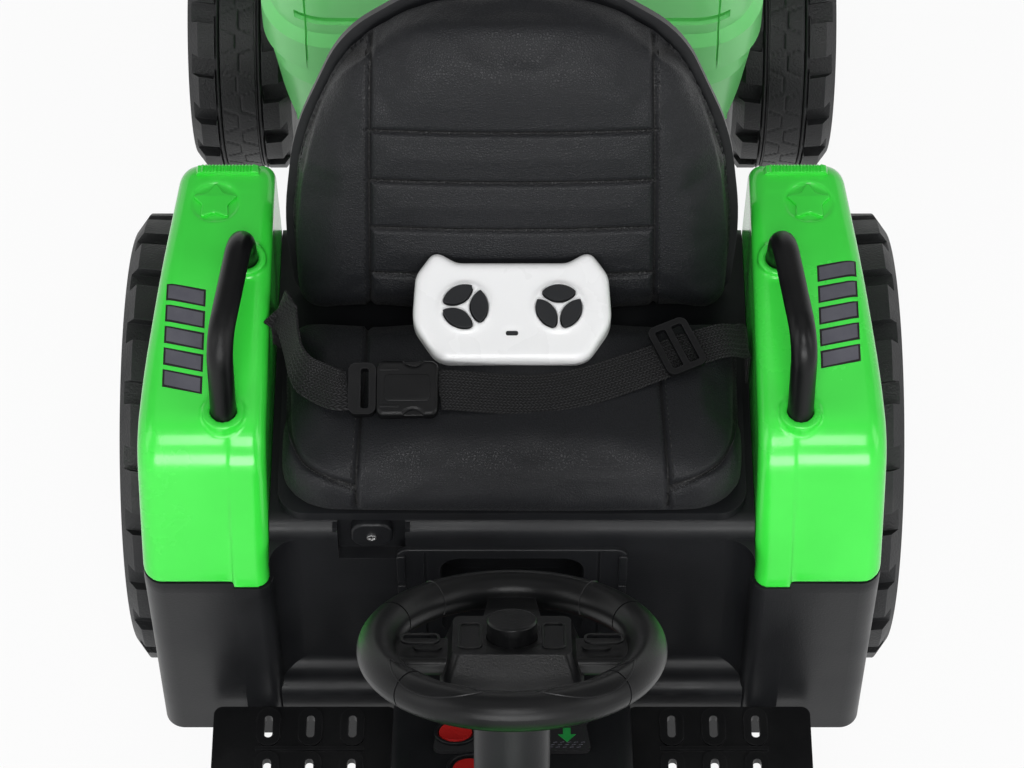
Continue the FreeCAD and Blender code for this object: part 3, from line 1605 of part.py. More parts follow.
# Drive train and electrics.
def rear_axle():
    # A rod with a collar each side that keeps the wheel off the seat box.
    z = rear_wheel_radius
    end = overall_width / 2 - hub_face_depth + axle_end_proud
    rod = Part.makeCylinder(axle_radius, 2 * end, V(-end, rear_axle_y, z), V(1, 0, 0))
    start = fender_inner + rest_gap
    shoulder = overall_width / 2 - rear_wheel_width + hub_face_depth - moving_gap
    for side in (-1, 1):
        rod = rod.fuse(Part.makeCylinder(spacer_radius, shoulder - start, V(side * start, rear_axle_y, z),
                                         V(side, 0, 0)))
    return rod


def gear_motors():
    z = rear_wheel_radius
    outer = fender_inner - wall - rest_gap
    case = across(rectangle(rear_axle_y - gearbox_half_y, rear_axle_y + gearbox_half_y, z - gearbox_half_z,
                            z + gearbox_half_z, gearbox_round), outer - gearbox_width, outer)
    motor = Part.makeCylinder(motor_radius, motor_length,
                              V(outer - gearbox_width - motor_length + wall, rear_axle_y
                              + motor_y, z + motor_rise), V(1, 0, 0))
    unit = case.fuse(motor)
    unit = unit.cut(Part.makeCylinder(axle_radius + shaft_gap, fender_outer, V(0, rear_axle_y, z),
                                      V(1, 0, 0)))
    return Part.makeCompound([unit, mirrored(unit)])


def battery():
    rear = rear_axle_y - battery_rear
    low = box_base_z
    half = battery_width / 2
    case = block(-half, half, rear - battery_depth, rear, low, low + battery_height)
    for side in (-1, 1):
        x = side * (half - 2 * terminal_size)
        case = case.fuse(block(x - terminal_size / 2, x + terminal_size / 2, rear - 2 * terminal_size,
                               rear - terminal_size, low + battery_height - wall, low + battery_height
                               + terminal_height))
    return case


def control_box():
    rear = rear_axle_y + box_rear - wall - rest_gap
    half = control_width / 2
    case = upward(rectangle(-half, half, rear - control_depth, rear, wall), control_z,
                  control_z + control_height)
    return case


# Hitch and trailer.
def hitch_bracket():
    wall_y = rear_axle_y + box_rear + rest_gap
    pin_y = rear_axle_y + hitch_y
    low = hitch_z - hitch_thick
    tongue = upward([(-hitch_half, wall_y, 0), (hitch_half, wall_y, 0),
                     (hitch_half, pin_y + hitch_half, hitch_half - rest_gap),
                     (-hitch_half, pin_y + hitch_half, hitch_half - rest_gap)], low, hitch_z)
    plate = block(-hitch_plate_half, hitch_plate_half, wall_y, wall_y + hitch_plate, low,
                  low + hitch_plate_height)
    bracket = tongue.fuse(plate)
    return bracket.cut(Part.makeCylinder(pin_radius + shaft_gap, hitch_z, V(0, pin_y, hitch_z / 2)))


def hitch_pin():
    pin_y = rear_axle_y + hitch_y
    low = hitch_z - hitch_thick - pin_tail
    top = hitch_z + drawbar_thick + 2 * moving_gap
    pin = Part.makeCylinder(pin_radius, top - low, V(0, pin_y, low))
    head = Part.makeCylinder(pin_head_radius, pin_head, V(0, pin_y, top))
    head = soften(head, pin_head / 4, lambda b: near(b.ZMin, top + pin_head))
    return pin.fuse(head)


def trailer_drawbar():
    pin_y = rear_axle_y + hitch_y
    low = hitch_z + moving_gap
    high = low + drawbar_thick
    tail = trailer_axle_y + drawbar_tail
    bar = upward([(-drawbar_half, pin_y - drawbar_half, drawbar_half - rest_gap),
                  (drawbar_half, pin_y - drawbar_half, drawbar_half - rest_gap),
                  (drawbar_half, tail, 0), (-drawbar_half, tail, 0)], low, high)
    bar = bar.cut(Part.makeCylinder(pin_radius + shaft_gap, hitch_z, V(0, pin_y, low - hitch_z / 2)))
    riser = block(-drawbar_half, drawbar_half, rear_axle_y + tub_front + tub_round, tail, low,
                  tub_base_z - rest_gap)
    cross = block(-cross_half, cross_half, trailer_axle_y - cross_depth, trailer_axle_y + cross_depth,
                  small_wheel_radius - cross_drop, tub_base_z - rest_gap)
    frame = bar.fuse([riser, cross])
    hole = Part.makeCylinder(axle_radius + shaft_gap, trailer_track, V(-trailer_track / 2, trailer_axle_y,
                             small_wheel_radius), V(1, 0, 0))
    return frame.cut(hole)


def trailer_axle():
    end = trailer_track / 2 - hub_face_depth + axle_end_proud
    rod = Part.makeCylinder(axle_radius, 2 * end, V(-end, trailer_axle_y, small_wheel_radius), V(1, 0, 0))
    shoulder = trailer_track / 2 - small_wheel_width + hub_face_depth - moving_gap
    for side in (-1, 1):
        start = side * (cross_half + rest_gap)
        rod = rod.fuse(Part.makeCylinder(spacer_radius, shoulder - cross_half - rest_gap,
                                         V(start, trailer_axle_y, small_wheel_radius), V(side, 0, 0)))
    return rod


def tub_ring(inset, z, radius, grow):
    front = rear_axle_y + tub_front + inset - grow
    rear = tail_y - tub_inset - inset + grow
    half = tub_half - inset + grow
    return rounded_wire(rectangle(-half, half, front, rear, radius), lambda u, v: V(u, v, z))


def wheel_well(depth, gap):
    radius = small_wheel_radius + gap
    return [Part.makeCylinder(radius, tub_half, V(side * depth, trailer_axle_y, small_wheel_radius),
                              V(side, 0, 0))
            for side in (-1, 1)]


def trailer_tub():
    outer = Part.makeLoft([tub_ring(tub_base_inset, tub_base_z, tub_round - tub_base_inset, 0),
                           tub_ring(0, tub_crease_z, tub_round, 0),
                           tub_ring(tub_rim_inset, tub_rim_z, tub_round - tub_rim_inset, 0)], True, True)
    outer = outer.cut(Part.makeCompound(wheel_well(tub_well_x, tub_well_gap)))
    inner = Part.makeLoft([tub_ring(tub_base_inset, tub_base_z + wall, tub_round - tub_base_inset - wall,
                                    -wall),
                           tub_ring(0, tub_crease_z, tub_round - wall, -wall),
                           tub_ring(tub_rim_inset, tub_rim_z + cut_over, tub_round - tub_rim_inset - wall,
                                    -wall)],
                          True, True)
    inner = inner.cut(Part.makeCompound(wheel_well(tub_well_x - wall, tub_well_gap + wall)))
    return outer.cut(inner)


def tier_ring(inset, z):
    front = rear_axle_y + tub_front - tub_inset + inset
    half = tub_half + tub_inset - inset
    corners = rectangle(-half, half, front, tail_y - inset, tier_round - inset)
    return rounded_wire(corners, lambda u, v: V(u, v, z))


def trailer_boards():
    # One ring of boards, cut by seams into four boards and four corner posts.
    low = tub_rim_z + rest_gap
    outer = Part.makeLoft([tier_ring(0, low), tier_ring(0, tier_ledge_z),
                           tier_ring(tier_ledge, tier_ledge_top_z),
                           tier_ring(tier_lean, tier_top_z)], True, True)
    inner = Part.makeLoft([tier_ring(tier_thick, low - cut_over),
                           tier_ring(tier_thick, tier_top_z + cut_over)],
                          True, True)
    ring = outer.cut(inner)
    half = tub_half + tub_inset
    front = rear_axle_y + tub_front - tub_inset
    seams = []
    for side in (-1, 1):
        x = side * (half - tier_seam_inset)
        seams.append(block(x - tier_seam / 2, x + tier_seam / 2, front - cut_over, tail_y + cut_over, 0,
                           tier_top_z + cut_over))
        inner_x = side * tier_slot_in
        outer_x = side * (tier_slot_in + tier_slot_length)
        seams.append(block(min(inner_x, outer_x), max(inner_x, outer_x), front - cut_over, tail_y + cut_over,
                           tier_slot_z - tier_slot_height / 2, tier_slot_z + tier_slot_height / 2))
    for y in (front + tier_seam_inset + tier_round / 2, tail_y - tier_seam_inset - tier_round / 2):
        seams.append(block(-half - cut_over, half + cut_over, y - tier_seam / 2, y + tier_seam / 2, 0,
                           tier_top_z + cut_over))
    for seam in seams:
        ring = ring.cut(seam)
    return ring


# Remote handset, drawn flat with its face at Z zero.
def on_remote(shape):
    shape.rotate(V(0, 0, 0), V(1, 0, 0), remote_tilt)
    shape.translate(V(0, rear_axle_y - remote_y, remote_z))
    return shape


def remote_outline():
    right = [(remote_half * a, remote_height * b, remote_half * c) for a, b, c in
             zip(remote_across_shares, remote_along_shares, remote_round_shares)]
    return right + [(-x, y, radius) for x, y, radius in reversed(right)]


def key_shape(side, k, gap, low, high):
    # A leaf between two arcs, turned to its place on the pad.
    centre = V(side * pad_x, 0, low)
    leaf = Part.makeCylinder(key_radius + gap, high - low, centre)
    other = Part.makeCylinder(key_arc_radius + gap, high - low, centre + V(key_arc_at, 0, 0))
    leaf = leaf.common(other)
    turn = 360.0 / key_count * k + (90.0 if side > 0 else 0.0)
    leaf.rotate(centre, V(0, 0, 1), turn)
    return leaf


def remote_shell():
    shell = upward(remote_outline(), -remote_depth, 0)
    shell = soften(shell, remote_edge_round, lambda b: near(b.ZMin, 0))
    cuts = []
    for side in (-1, 1):
        pad = Part.makeCylinder(pad_radius, pad_height + wall, V(side * pad_x, 0, -wall))
        shell = shell.fuse(soften(pad, pad_height / 2, lambda b: near(b.ZMin, pad_height)))
        room = mat_depth + key_travel + moving_gap
        cuts.append(Part.makeCylinder(pad_radius - mat_inset + moving_gap,
                                      mat_thick + key_travel + 2 * moving_gap,
                                      V(side * pad_x, 0, -room)))
    for cut in cuts:
        shell = shell.cut(cut)
    for side in (-1, 1):
        for k in range(key_count):
            shell = shell.cut(key_shape(side, k, key_gap, -mat_depth, pad_height + cut_over))
    shell = shell.cut(block(-window_half, window_half, -window_y, window_height - window_y, -window_depth,
                            cut_over))
    shell = on_remote(shell)
    seat_top = seat_cushion_z + panel_gap
    backrest = on_back(block(-overall_width, overall_width, -back_height, back_height, -remote_depth,
                             back_thick + remote_back_gap))
    return shell.cut([block(-overall_width, overall_width, nose_y, tail_y, 0, seat_top), backrest])


def remote_keys(side):
    mat = Part.makeCylinder(pad_radius - mat_inset, mat_thick, V(side * pad_x, 0, -mat_depth))
    keys = [key_shape(side, k, 0, -mat_depth, pad_height + key_height
                      - key_travel) for k in range(key_count)]
    return on_remote(mat.fuse(keys))


def main():
    os.makedirs("parts", exist_ok=True)
    save_wheel_pair("rear", rear_wheel_radius, rear_wheel_width, rear_rim_radius, rear_lug_count,
                    overall_width,
                    rear_axle_y)
    save_wheel_pair("front", small_wheel_radius, small_wheel_width, small_rim_radius, small_lug_count,
                    front_track,
                    front_axle_y)
    save_wheel_pair("trailer", small_wheel_radius, small_wheel_width, small_rim_radius, small_lug_count,
                    trailer_track, trailer_axle_y)
    fender = left_fender()
    save("left_fender", fender)
    save("right_fender", mirrored(fender))
    handle = left_handle()
    save("grab_handles", Part.makeCompound([handle, mirrored(handle)]))
    knuckle = left_knuckle()
    save("left_knuckle", knuckle)
    save("right_knuckle", mirrored(knuckle))
    pieces = {
        "rear_body": rear_body, "seat_latch": seat_latch, "access_panel": access_panel,
        "seat_cushion": seat_cushion,
        "back_cushion": back_cushion, "seat_shell": seat_shell, "belt_left_strap": left_strap,
        "belt_right_strap": right_strap, "belt_buckle_socket": buckle_socket,
        "belt_buckle_plug": buckle_plug,
        "belt_slider": belt_slider, "right_footboard": right_footboard,
        "accelerator_pedal": accelerator_pedal,
        "console": console, "switch_panel": switch_panel, "start_button": start_button,
        "steering_wheel": steering_wheel, "horn_button": horn_button, "steering_shaft": steering_shaft,
        "steering_column": steering_column, "front_axle_beam": front_axle_beam, "tie_rod": tie_rod,
        "chassis": chassis, "hood": hood, "grille": grille, "headlights": headlights,
        "exhaust_stack": exhaust_stack, "rear_axle": rear_axle, "gear_motors": gear_motors,
        "battery": battery, "control_box": control_box,
        "hitch_bracket": hitch_bracket, "hitch_pin": hitch_pin, "trailer_drawbar": trailer_drawbar,
        "trailer_axle": trailer_axle, "trailer_tub": trailer_tub, "trailer_boards": trailer_boards,
        "remote_shell": remote_shell,
    }
    for name, make in pieces.items():
        save(name, make())
    save("left_footboard", footboard(1, slot_rows))
    save("light_switch", rocker_switch(light_x, light_back))
    save("direction_switch", rocker_switch(direction_x, direction_back))
    save("remote_left_keys", remote_keys(1))
    save("remote_right_keys", remote_keys(-1))


main()
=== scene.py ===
import math

import bmesh
import bpy
from mathutils import Matrix, Vector
from mathutils.bvhtree import BVHTree


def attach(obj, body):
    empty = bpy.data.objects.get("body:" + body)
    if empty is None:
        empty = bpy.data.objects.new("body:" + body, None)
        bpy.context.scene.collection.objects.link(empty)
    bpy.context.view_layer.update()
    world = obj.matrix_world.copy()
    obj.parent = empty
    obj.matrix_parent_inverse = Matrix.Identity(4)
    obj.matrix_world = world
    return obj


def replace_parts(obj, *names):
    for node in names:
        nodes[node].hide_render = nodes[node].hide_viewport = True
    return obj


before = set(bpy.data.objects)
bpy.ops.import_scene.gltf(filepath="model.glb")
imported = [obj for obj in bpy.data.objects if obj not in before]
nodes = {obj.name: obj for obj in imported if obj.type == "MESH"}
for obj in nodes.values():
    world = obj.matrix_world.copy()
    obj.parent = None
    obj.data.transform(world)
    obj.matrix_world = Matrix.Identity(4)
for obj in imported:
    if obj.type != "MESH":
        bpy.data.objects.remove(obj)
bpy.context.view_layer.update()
scene = bpy.context.scene
mm = 0.001
sides = {"left": 1, "right": -1}
axles = ("rear", "front", "trailer")
print("frame loaded:", len(nodes), "nodes")


# planes that the pieces are drawn on, as in the CAD model
def tiltedPlane(place, tilt):
    # a place in mm and a tilt about x in degrees
    return Matrix.Translation(Vector(place) * mm) @ Matrix.Rotation(math.radians(tilt), 4, "X")


def framePlane(origin, across, up):
    # origin in mm, its x and y directions, facing out along their product
    across = Vector(across).normalized()
    out = across.cross(Vector(up)).normalized()
    turned = Matrix((across, out.cross(across), out)).transposed().to_4x4()
    return Matrix.Translation(Vector(origin) * mm) @ turned


floorPlane = Matrix.Identity(4)
backPlane = tiltedPlane((0, 81, 303), 68.5)
dashPlane = tiltedPlane((0, -131, 178), -25.32)
wheelPlane = tiltedPlane((0, -258, 430), -32.5)
remotePlane = tiltedPlane((0, 24.5, 365.5), 16)
bucklePlane = tiltedPlane((-83, -30, 354.1), 20)
frontFace = framePlane((0, 0, 0), (1, 0, 0), (0, 0, 1))


# shader groups: each puts out masks and heights only
def newGroup(name, inputs, outputs):
    tree = bpy.data.node_groups.new(name, "ShaderNodeTree")
    for label, value in inputs.items():
        socket = tree.interface.new_socket(name=label, in_out="INPUT", socket_type="NodeSocketFloat")
        socket.default_value = value
    for label in outputs:
        tree.interface.new_socket(name=label, in_out="OUTPUT", socket_type="NodeSocketFloat")
    return tree, tree.nodes.new("NodeGroupInput"), tree.nodes.new("NodeGroupOutput")


def addNode(tree, kind, values=None, **settings):
    node = tree.nodes.new(kind)
    for key, value in settings.items():
        setattr(node, key, value)
    for key, value in (values or {}).items():
        node.inputs[key].default_value = value
    return node


def link(tree, source, target):
    tree.links.new(source, target)


def mathNode(tree, operation, first, second=None):
    node = addNode(tree, "ShaderNodeMath", operation=operation)
    for slot, value in enumerate((first, second)):
        if isinstance(value, (int, float)):
            node.inputs[slot].default_value = value
        elif value is not None:
            link(tree, value, node.inputs[slot])
    return node.outputs[0]


def times(tree, first, second):
    return mathNode(tree, "MULTIPLY", first, second)


def rangeNode(tree, value, low, high, toLow=0.0, toHigh=1.0):
    limits = {"From Min": low, "From Max": high, "To Min": toLow, "To Max": toHigh}
    node = addNode(tree, "ShaderNodeMapRange", limits, interpolation_type="SMOOTHSTEP")
    link(tree, value, node.inputs["Value"])
    return node.outputs["Result"]


def noiseNode(tree, place, values, scale=None):
    # noise in the piece's own space; a socket may give the scale
    node = addNode(tree, "ShaderNodeTexNoise", values)
    link(tree, place.outputs["Object"], node.inputs["Vector"])
    if scale is not None:
        link(tree, scale, node.inputs["Scale"])
    return node


def makeGrainGroup():
    # fine moulded grain and a slow mottle over the whole piece
    tree, inputs, outputs = newGroup("mouldedGrain", {"Grains per metre": 900.0, "Mottle per metre": 14.0},
                                     ["Height", "Mottle"])
    place = addNode(tree, "ShaderNodeTexCoord")
    grain = noiseNode(tree, place, {"Detail": 2.0, "Roughness": 0.55}, inputs.outputs["Grains per metre"])
    mottle = noiseNode(tree, place, {"Detail": 4.0, "Roughness": 0.6}, inputs.outputs["Mottle per metre"])
    link(tree, grain.outputs["Fac"], outputs.inputs["Height"])
    link(tree, rangeNode(tree, mottle.outputs["Fac"], 0.3, 0.7), outputs.inputs["Mottle"])
    return tree


def makeEdgeWearHighlightGroup():
    # how far a rounded corner turns away: a mask for edges that get rub wear and a painted highlight
    tree, inputs, outputs = newGroup("rubbedEdgeHighlight", {"Radius": 0.0012, "Breakup": 60.0}, ["Mask"])
    bevel = addNode(tree, "ShaderNodeBevel", samples=4)
    link(tree, inputs.outputs["Radius"], bevel.inputs["Radius"])
    surface = addNode(tree, "ShaderNodeNewGeometry")
    turn = addNode(tree, "ShaderNodeVectorMath", operation="DOT_PRODUCT")
    link(tree, bevel.outputs["Normal"], turn.inputs[0])
    link(tree, surface.outputs["Normal"], turn.inputs[1])
    edge = rangeNode(tree, mathNode(tree, "SUBTRACT", 1.0, turn.outputs["Value"]), 0.01, 0.22)
    place = addNode(tree, "ShaderNodeTexCoord")
    breakup = noiseNode(tree, place, {"Detail": 3.0}, inputs.outputs["Breakup"])
    patchy = rangeNode(tree, breakup.outputs["Fac"], 0.3, 0.65, 0.35, 1.0)
    link(tree, times(tree, edge, patchy), outputs.inputs["Mask"])
    return tree


def makeDustGroup():
    # a thin haze on faces that look up, and sparse specks
    tree, inputs, outputs = newGroup("dustHaze", {"Haze": 0.5, "Specks per metre": 420.0}, ["Mask"])
    surface = addNode(tree, "ShaderNodeNewGeometry")
    parts = addNode(tree, "ShaderNodeSeparateXYZ")
    link(tree, surface.outputs["Normal"], parts.inputs["Vector"])
    place = addNode(tree, "ShaderNodeTexCoord")
    cloud = noiseNode(tree, place, {"Scale": 23.0, "Detail": 5.0, "Roughness": 0.65}).outputs["Fac"]
    speck = addNode(tree, "ShaderNodeTexVoronoi", feature="F1")
    link(tree, place.outputs["Object"], speck.inputs["Vector"])
    link(tree, inputs.outputs["Specks per metre"], speck.inputs["Scale"])
    haze = times(tree, rangeNode(tree, cloud, 0.42, 0.72), inputs.outputs["Haze"])
    dots = rangeNode(tree, speck.outputs["Distance"], 0.16, 0.05)
    rare = times(tree, dots, rangeNode(tree, cloud, 0.55, 0.7))
    upward = rangeNode(tree, parts.outputs["Z"], -0.1, 0.8)
    link(tree, times(tree, mathNode(tree, "MAXIMUM", haze, rare), upward), outputs.inputs["Mask"])
    return tree


def makeLeatherGroup():
    # pebbled leatherette: small cells with creases between them, and slow pulls
    pebbleShare, pullShare = 0.7, 0.1
    tree, inputs, outputs = newGroup("pebbleGrain", {"Pebbles per metre": 620.0}, ["Height", "Crease"])
    place = addNode(tree, "ShaderNodeTexCoord")
    bend = noiseNode(tree, place, {"Scale": 260.0, "Detail": 2.0})
    shift = addNode(tree, "ShaderNodeVectorMath", {"Scale": 0.0022}, operation="SCALE")
    link(tree, bend.outputs["Color"], shift.inputs[0])
    moved = addNode(tree, "ShaderNodeVectorMath", operation="ADD")
    link(tree, place.outputs["Object"], moved.inputs[0])
    link(tree, shift.outputs["Vector"], moved.inputs[1])
    cells = addNode(tree, "ShaderNodeTexVoronoi", feature="DISTANCE_TO_EDGE")
    link(tree, moved.outputs["Vector"], cells.inputs["Vector"])
    link(tree, inputs.outputs["Pebbles per metre"], cells.inputs["Scale"])
    pebble = rangeNode(tree, cells.outputs["Distance"], 0.0, 0.28)
    pull = noiseNode(tree, place, {"Scale": 34.0, "Detail": 4.0, "Roughness": 0.55}).outputs["Fac"]
    height = mathNode(tree, "ADD", times(tree, pebble, pebbleShare), times(tree, pull, pullShare))
    link(tree, height, outputs.inputs["Height"])
    link(tree, mathNode(tree, "SUBTRACT", 1.0, pebble), outputs.inputs["Crease"])
    return tree


def makeWeaveGroup():
    # herringbone webbing: columns of slanted yarns that turn at each column, laid out on the strap's own UV;
    # the yarn height also gives painted shade between the yarns
    slant, ribPower = 0.9, 0.5
    tree, inputs, outputs = newGroup("webbingWeave", {"Columns": 14.0, "Yarns per metre": 420.0},
                                     ["Height", "PaintedShade"])
    place = addNode(tree, "ShaderNodeTexCoord")
    parts = addNode(tree, "ShaderNodeSeparateXYZ")
    link(tree, place.outputs["UV"], parts.inputs["Vector"])
    across = times(tree, parts.outputs["X"], inputs.outputs["Columns"])
    inColumn = mathNode(tree, "FRACT", across)
    odd = mathNode(tree, "MODULO", mathNode(tree, "FLOOR", across), 2.0)
    turn = mathNode(tree, "SUBTRACT", times(tree, odd, 2.0), 1.0)
    along = times(tree, parts.outputs["Y"], inputs.outputs["Yarns per metre"])
    phase = mathNode(tree, "ADD", along, times(tree, times(tree, inColumn, turn), slant))
    yarn = mathNode(tree, "ABSOLUTE", mathNode(tree, "SINE", times(tree, phase, math.pi)))
    rib = mathNode(tree, "SINE", times(tree, inColumn, math.pi))
    height = times(tree, yarn, mathNode(tree, "POWER", rib, ribPower))
    link(tree, height, outputs.inputs["Height"])
    fuzz = noiseNode(tree, place, {"Scale": 700.0, "Detail": 2.0})
    # painted shade: darker where the yarns dip
    paintedShade = times(tree, height, rangeNode(tree, fuzz.outputs["Fac"], 0.3, 0.7, 0.6, 1.0))
    link(tree, paintedShade, outputs.inputs["PaintedShade"])
    return tree


grainGroup = makeGrainGroup()
edgeWearHighlightGroup = makeEdgeWearHighlightGroup()
dustGroup = makeDustGroup()
leatherGroup = makeLeatherGroup()
weaveGroup = makeWeaveGroup()
print("shader groups:", len(bpy.data.node_groups))


# finishes
def newMaterial(name, sockets):
    material = bpy.data.materials.new(name)
    material.use_nodes = True
    tree = material.node_tree
    shader = tree.nodes["Principled BSDF"]
    for label, value in sockets.items():
        shader.inputs[label].default_value = value
    return material, tree, shader


def placeGroup(tree, group, values=None):
    return addNode(tree, "ShaderNodeGroup", values, node_tree=group)


def placeGrain(tree, look):
    scales = {"Grains per metre": look["grains"], "Mottle per metre": look["mottle"]}
    return placeGroup(tree, grainGroup, scales)


def mixColour(tree, mask, first, second):
    node = addNode(tree, "ShaderNodeMix", data_type="RGBA")
    link(tree, mask, node.inputs["Factor"])
    for slot, value in ((6, first), (7, second)):  # the two colour sockets
        if isinstance(value, (tuple, list)):
            node.inputs[slot].default_value = (*value, 1)
        else:
            link(tree, value, node.inputs[slot])
    return node.outputs[2]


def setRough(tree, shader, mask, look):
    link(tree, rangeNode(tree, mask, 0.0, 1.0, *look["rough"]), shader.inputs["Roughness"])


def addBump(tree, shader, height, look):
    bump = addNode(tree, "ShaderNodeBump", {"Strength": look["bump"], "Distance": look["depth"]})
    link(tree, height, bump.inputs["Height"])
    link(tree, bump.outputs["Normal"], shader.inputs["Normal"])


dustLook = {"colour": (0.42, 0.41, 0.39), "rough": 0.12}
# each look's edge rub amount and colour are partly wear and partly a painted highlight on the edges
blackLook = {"dark": (0.0080, 0.0084, 0.0096), "light": (0.0114, 0.0120, 0.0136), "specular": 0.25,
             "grains": 850.0, "mottle": 12.0, "edge": 0.0014, "rub": 0.5, "rubAndHighlightColour": (0.032, 0.032, 0.034),
             "haze": 0.5, "dust": 0.012, "rough": (0.34, 0.44), "bump": 0.22, "depth": 0.0004}
tyreLook = {"dark": (0.0125, 0.0128, 0.0138), "light": (0.0185, 0.0190, 0.0204), "specular": 0.34,
            "grains": 640.0, "mottle": 20.0, "edge": 0.0016, "rub": 0.7, "rubAndHighlightColour": (0.045, 0.045, 0.048),
            "haze": 0.6, "dust": 0.02, "rough": (0.46, 0.58), "bump": 0.75, "depth": 0.0006}
greenLook = {"dark": (0.040, 0.72, 0.052), "light": (0.052, 0.80, 0.066), "specular": 0.5,
             "grains": 420.0, "mottle": 7.0, "edge": 0.0012, "rub": 0.35, "rubAndHighlightColour": (0.16, 0.85, 0.18),
             "haze": 0.3, "dust": 0.006, "rough": (0.20, 0.27), "bump": 0.02, "depth": 0.0002,
             "coat": 0.25, "coatRough": 0.08}
whiteLook = {"dark": (0.895, 0.90, 0.905), "light": (0.91, 0.915, 0.92), "specular": 0.5,
             "grains": 500.0, "mottle": 9.0, "edge": 0.0008, "rub": 0.1, "rubAndHighlightColour": (0.86, 0.86, 0.86),
             "haze": 0.2, "dust": 0.015, "rough": (0.22, 0.30), "bump": 0.03, "depth": 0.0002,
             "coat": 0.2, "coatRough": 0.1}
greyLook = dict(blackLook, dark=(0.040, 0.040, 0.043), light=(0.052, 0.052, 0.056), rub=0.4,
                rubAndHighlightColour=(0.09, 0.09, 0.095))
plasticLooks = {
    "blackShell": blackLook,
    "tyreBlack": tyreLook,
    "gripBlack": dict(blackLook, dark=(0.0034, 0.0036, 0.0040), light=(0.0050, 0.0052, 0.0058),
                      specular=0.24, rough=(0.30, 0.38)),
    "greenShell": greenLook,
    "paleGreenTub": dict(greenLook, dark=(0.21, 0.85, 0.24), light=(0.25, 0.90, 0.28), rough=(0.30, 0.38),
                         coat=0.1),
    "greyMoulding": greyLook,
    "switchPlate": dict(blackLook, dark=(0.022, 0.022, 0.024), light=(0.028, 0.028, 0.030),
                        rough=(0.40, 0.48)),
    "whiteHandset": whiteLook,
    "keyRubber": dict(blackLook, dark=(0.016, 0.017, 0.019), light=(0.020, 0.021, 0.023),
                      rough=(0.55, 0.66), grains=1500.0),
    "redSwitch": dict(whiteLook, dark=(0.42, 0.012, 0.012), light=(0.50, 0.018, 0.016),
                      rubAndHighlightColour=(0.6, 0.08, 0.07)),
    "batteryCase": dict(greyLook, dark=(0.03, 0.045, 0.075), light=(0.04, 0.055, 0.09)),
}


def mouldedPlastic(name, look):
    material, tree, shader = newMaterial(name, {
        "Specular IOR Level": look["specular"], "Coat Weight": look.get("coat", 0.0),
        "Coat Roughness": look.get("coatRough", 0.1)})
    grain = placeGrain(tree, look)
    edge = placeGroup(tree, edgeWearHighlightGroup, {"Radius": look["edge"]}).outputs["Mask"]
    dust = placeGroup(tree, dustGroup, {"Haze": look["haze"]}).outputs["Mask"]
    body = mixColour(tree, grain.outputs["Mottle"], look["dark"], look["light"])
    # edges lightened: partly rub wear, partly painted highlight
    rubbedAndLit = mixColour(tree, times(tree, edge, look["rub"]), body, look["rubAndHighlightColour"])
    dusty = mixColour(tree, times(tree, dust, look["dust"]), rubbedAndLit, dustLook["colour"])
    link(tree, dusty, shader.inputs["Base Color"])
    rough = rangeNode(tree, grain.outputs["Mottle"], 0.0, 1.0, *look["rough"])
    rough = mathNode(tree, "ADD", rough, times(tree, dust, dustLook["rough"]))
    link(tree, rough, shader.inputs["Roughness"])
    addBump(tree, shader, grain.outputs["Height"], look)
    return material


zincLook = {"sockets": {"Metallic": 1.0, "Specular IOR Level": 0.5}, "dark": (0.42, 0.42, 0.43),
            "light": (0.56, 0.56, 0.55), "rubAndHighlightColour": (0.68, 0.68, 0.68), "grains": 340.0, "mottle": 30.0,
            "edge": 0.0006, "rough": (0.28, 0.42), "bump": 0.1, "depth": 0.0002}


def zincFinish(name, look):
    material, tree, shader = newMaterial(name, look["sockets"])
    grain = placeGrain(tree, look)
    edge = placeGroup(tree, edgeWearHighlightGroup, {"Radius": look["edge"]})
    body = mixColour(tree, grain.outputs["Mottle"], look["dark"], look["light"])
    # edges lightened: partly rub wear, partly painted highlight
    link(tree, mixColour(tree, edge.outputs["Mask"], body, look["rubAndHighlightColour"]), shader.inputs["Base Color"])
    setRough(tree, shader, grain.outputs["Mottle"], look)
    addBump(tree, shader, grain.outputs["Height"], look)
    return material


# the crease and seam colours are painted shade, darkening the pebble creases and the seam grooves
leatherLook = {"sockets": {"Specular IOR Level": 0.28, "Sheen Weight": 0.03, "Sheen Roughness": 0.5},
               "dark": (0.0070, 0.0078, 0.0098), "light": (0.0083, 0.0092, 0.0115),
               "creaseShade": (0.004, 0.004, 0.0045), "creaseShading": 0.4, "seam": (0.0012, 0.0012, 0.0014),
               "grains": 300.0, "mottle": 9.0, "rough": (0.38, 0.58), "bump": 0.42, "depth": 0.0005}


def leatherFinish(name, look):
    material, tree, shader = newMaterial(name, look["sockets"])
    pebble = placeGroup(tree, leatherGroup)
    grain = placeGrain(tree, look)
    body = mixColour(tree, grain.outputs["Mottle"], look["dark"], look["light"])
    # painted shade: the creases between the pebbles darkened
    creaseShading = mixColour(tree, times(tree, pebble.outputs["Crease"], look["creaseShading"]), body, look["creaseShade"])
    # painted shade along the seam grooves, read from the seam attribute
    sewn = addNode(tree, "ShaderNodeAttribute", attribute_name="seam")
    link(tree, mixColour(tree, sewn.outputs["Fac"], creaseShading, look["seam"]), shader.inputs["Base Color"])
    setRough(tree, shader, pebble.outputs["Crease"], look)
    addBump(tree, shader, pebble.outputs["Height"], look)
    return material


# the dark colour is painted shade in the weave's hollows; the light one is the webbing's own black
webbingLook = {"sockets": {"Specular IOR Level": 0.25, "Sheen Weight": 0.08, "Sheen Roughness": 0.4},
               "dark": (0.0020, 0.0020, 0.0022), "light": (0.0195, 0.0197, 0.0212), "rough": (0.85, 0.55),
               "bump": 0.8, "depth": 0.0005}


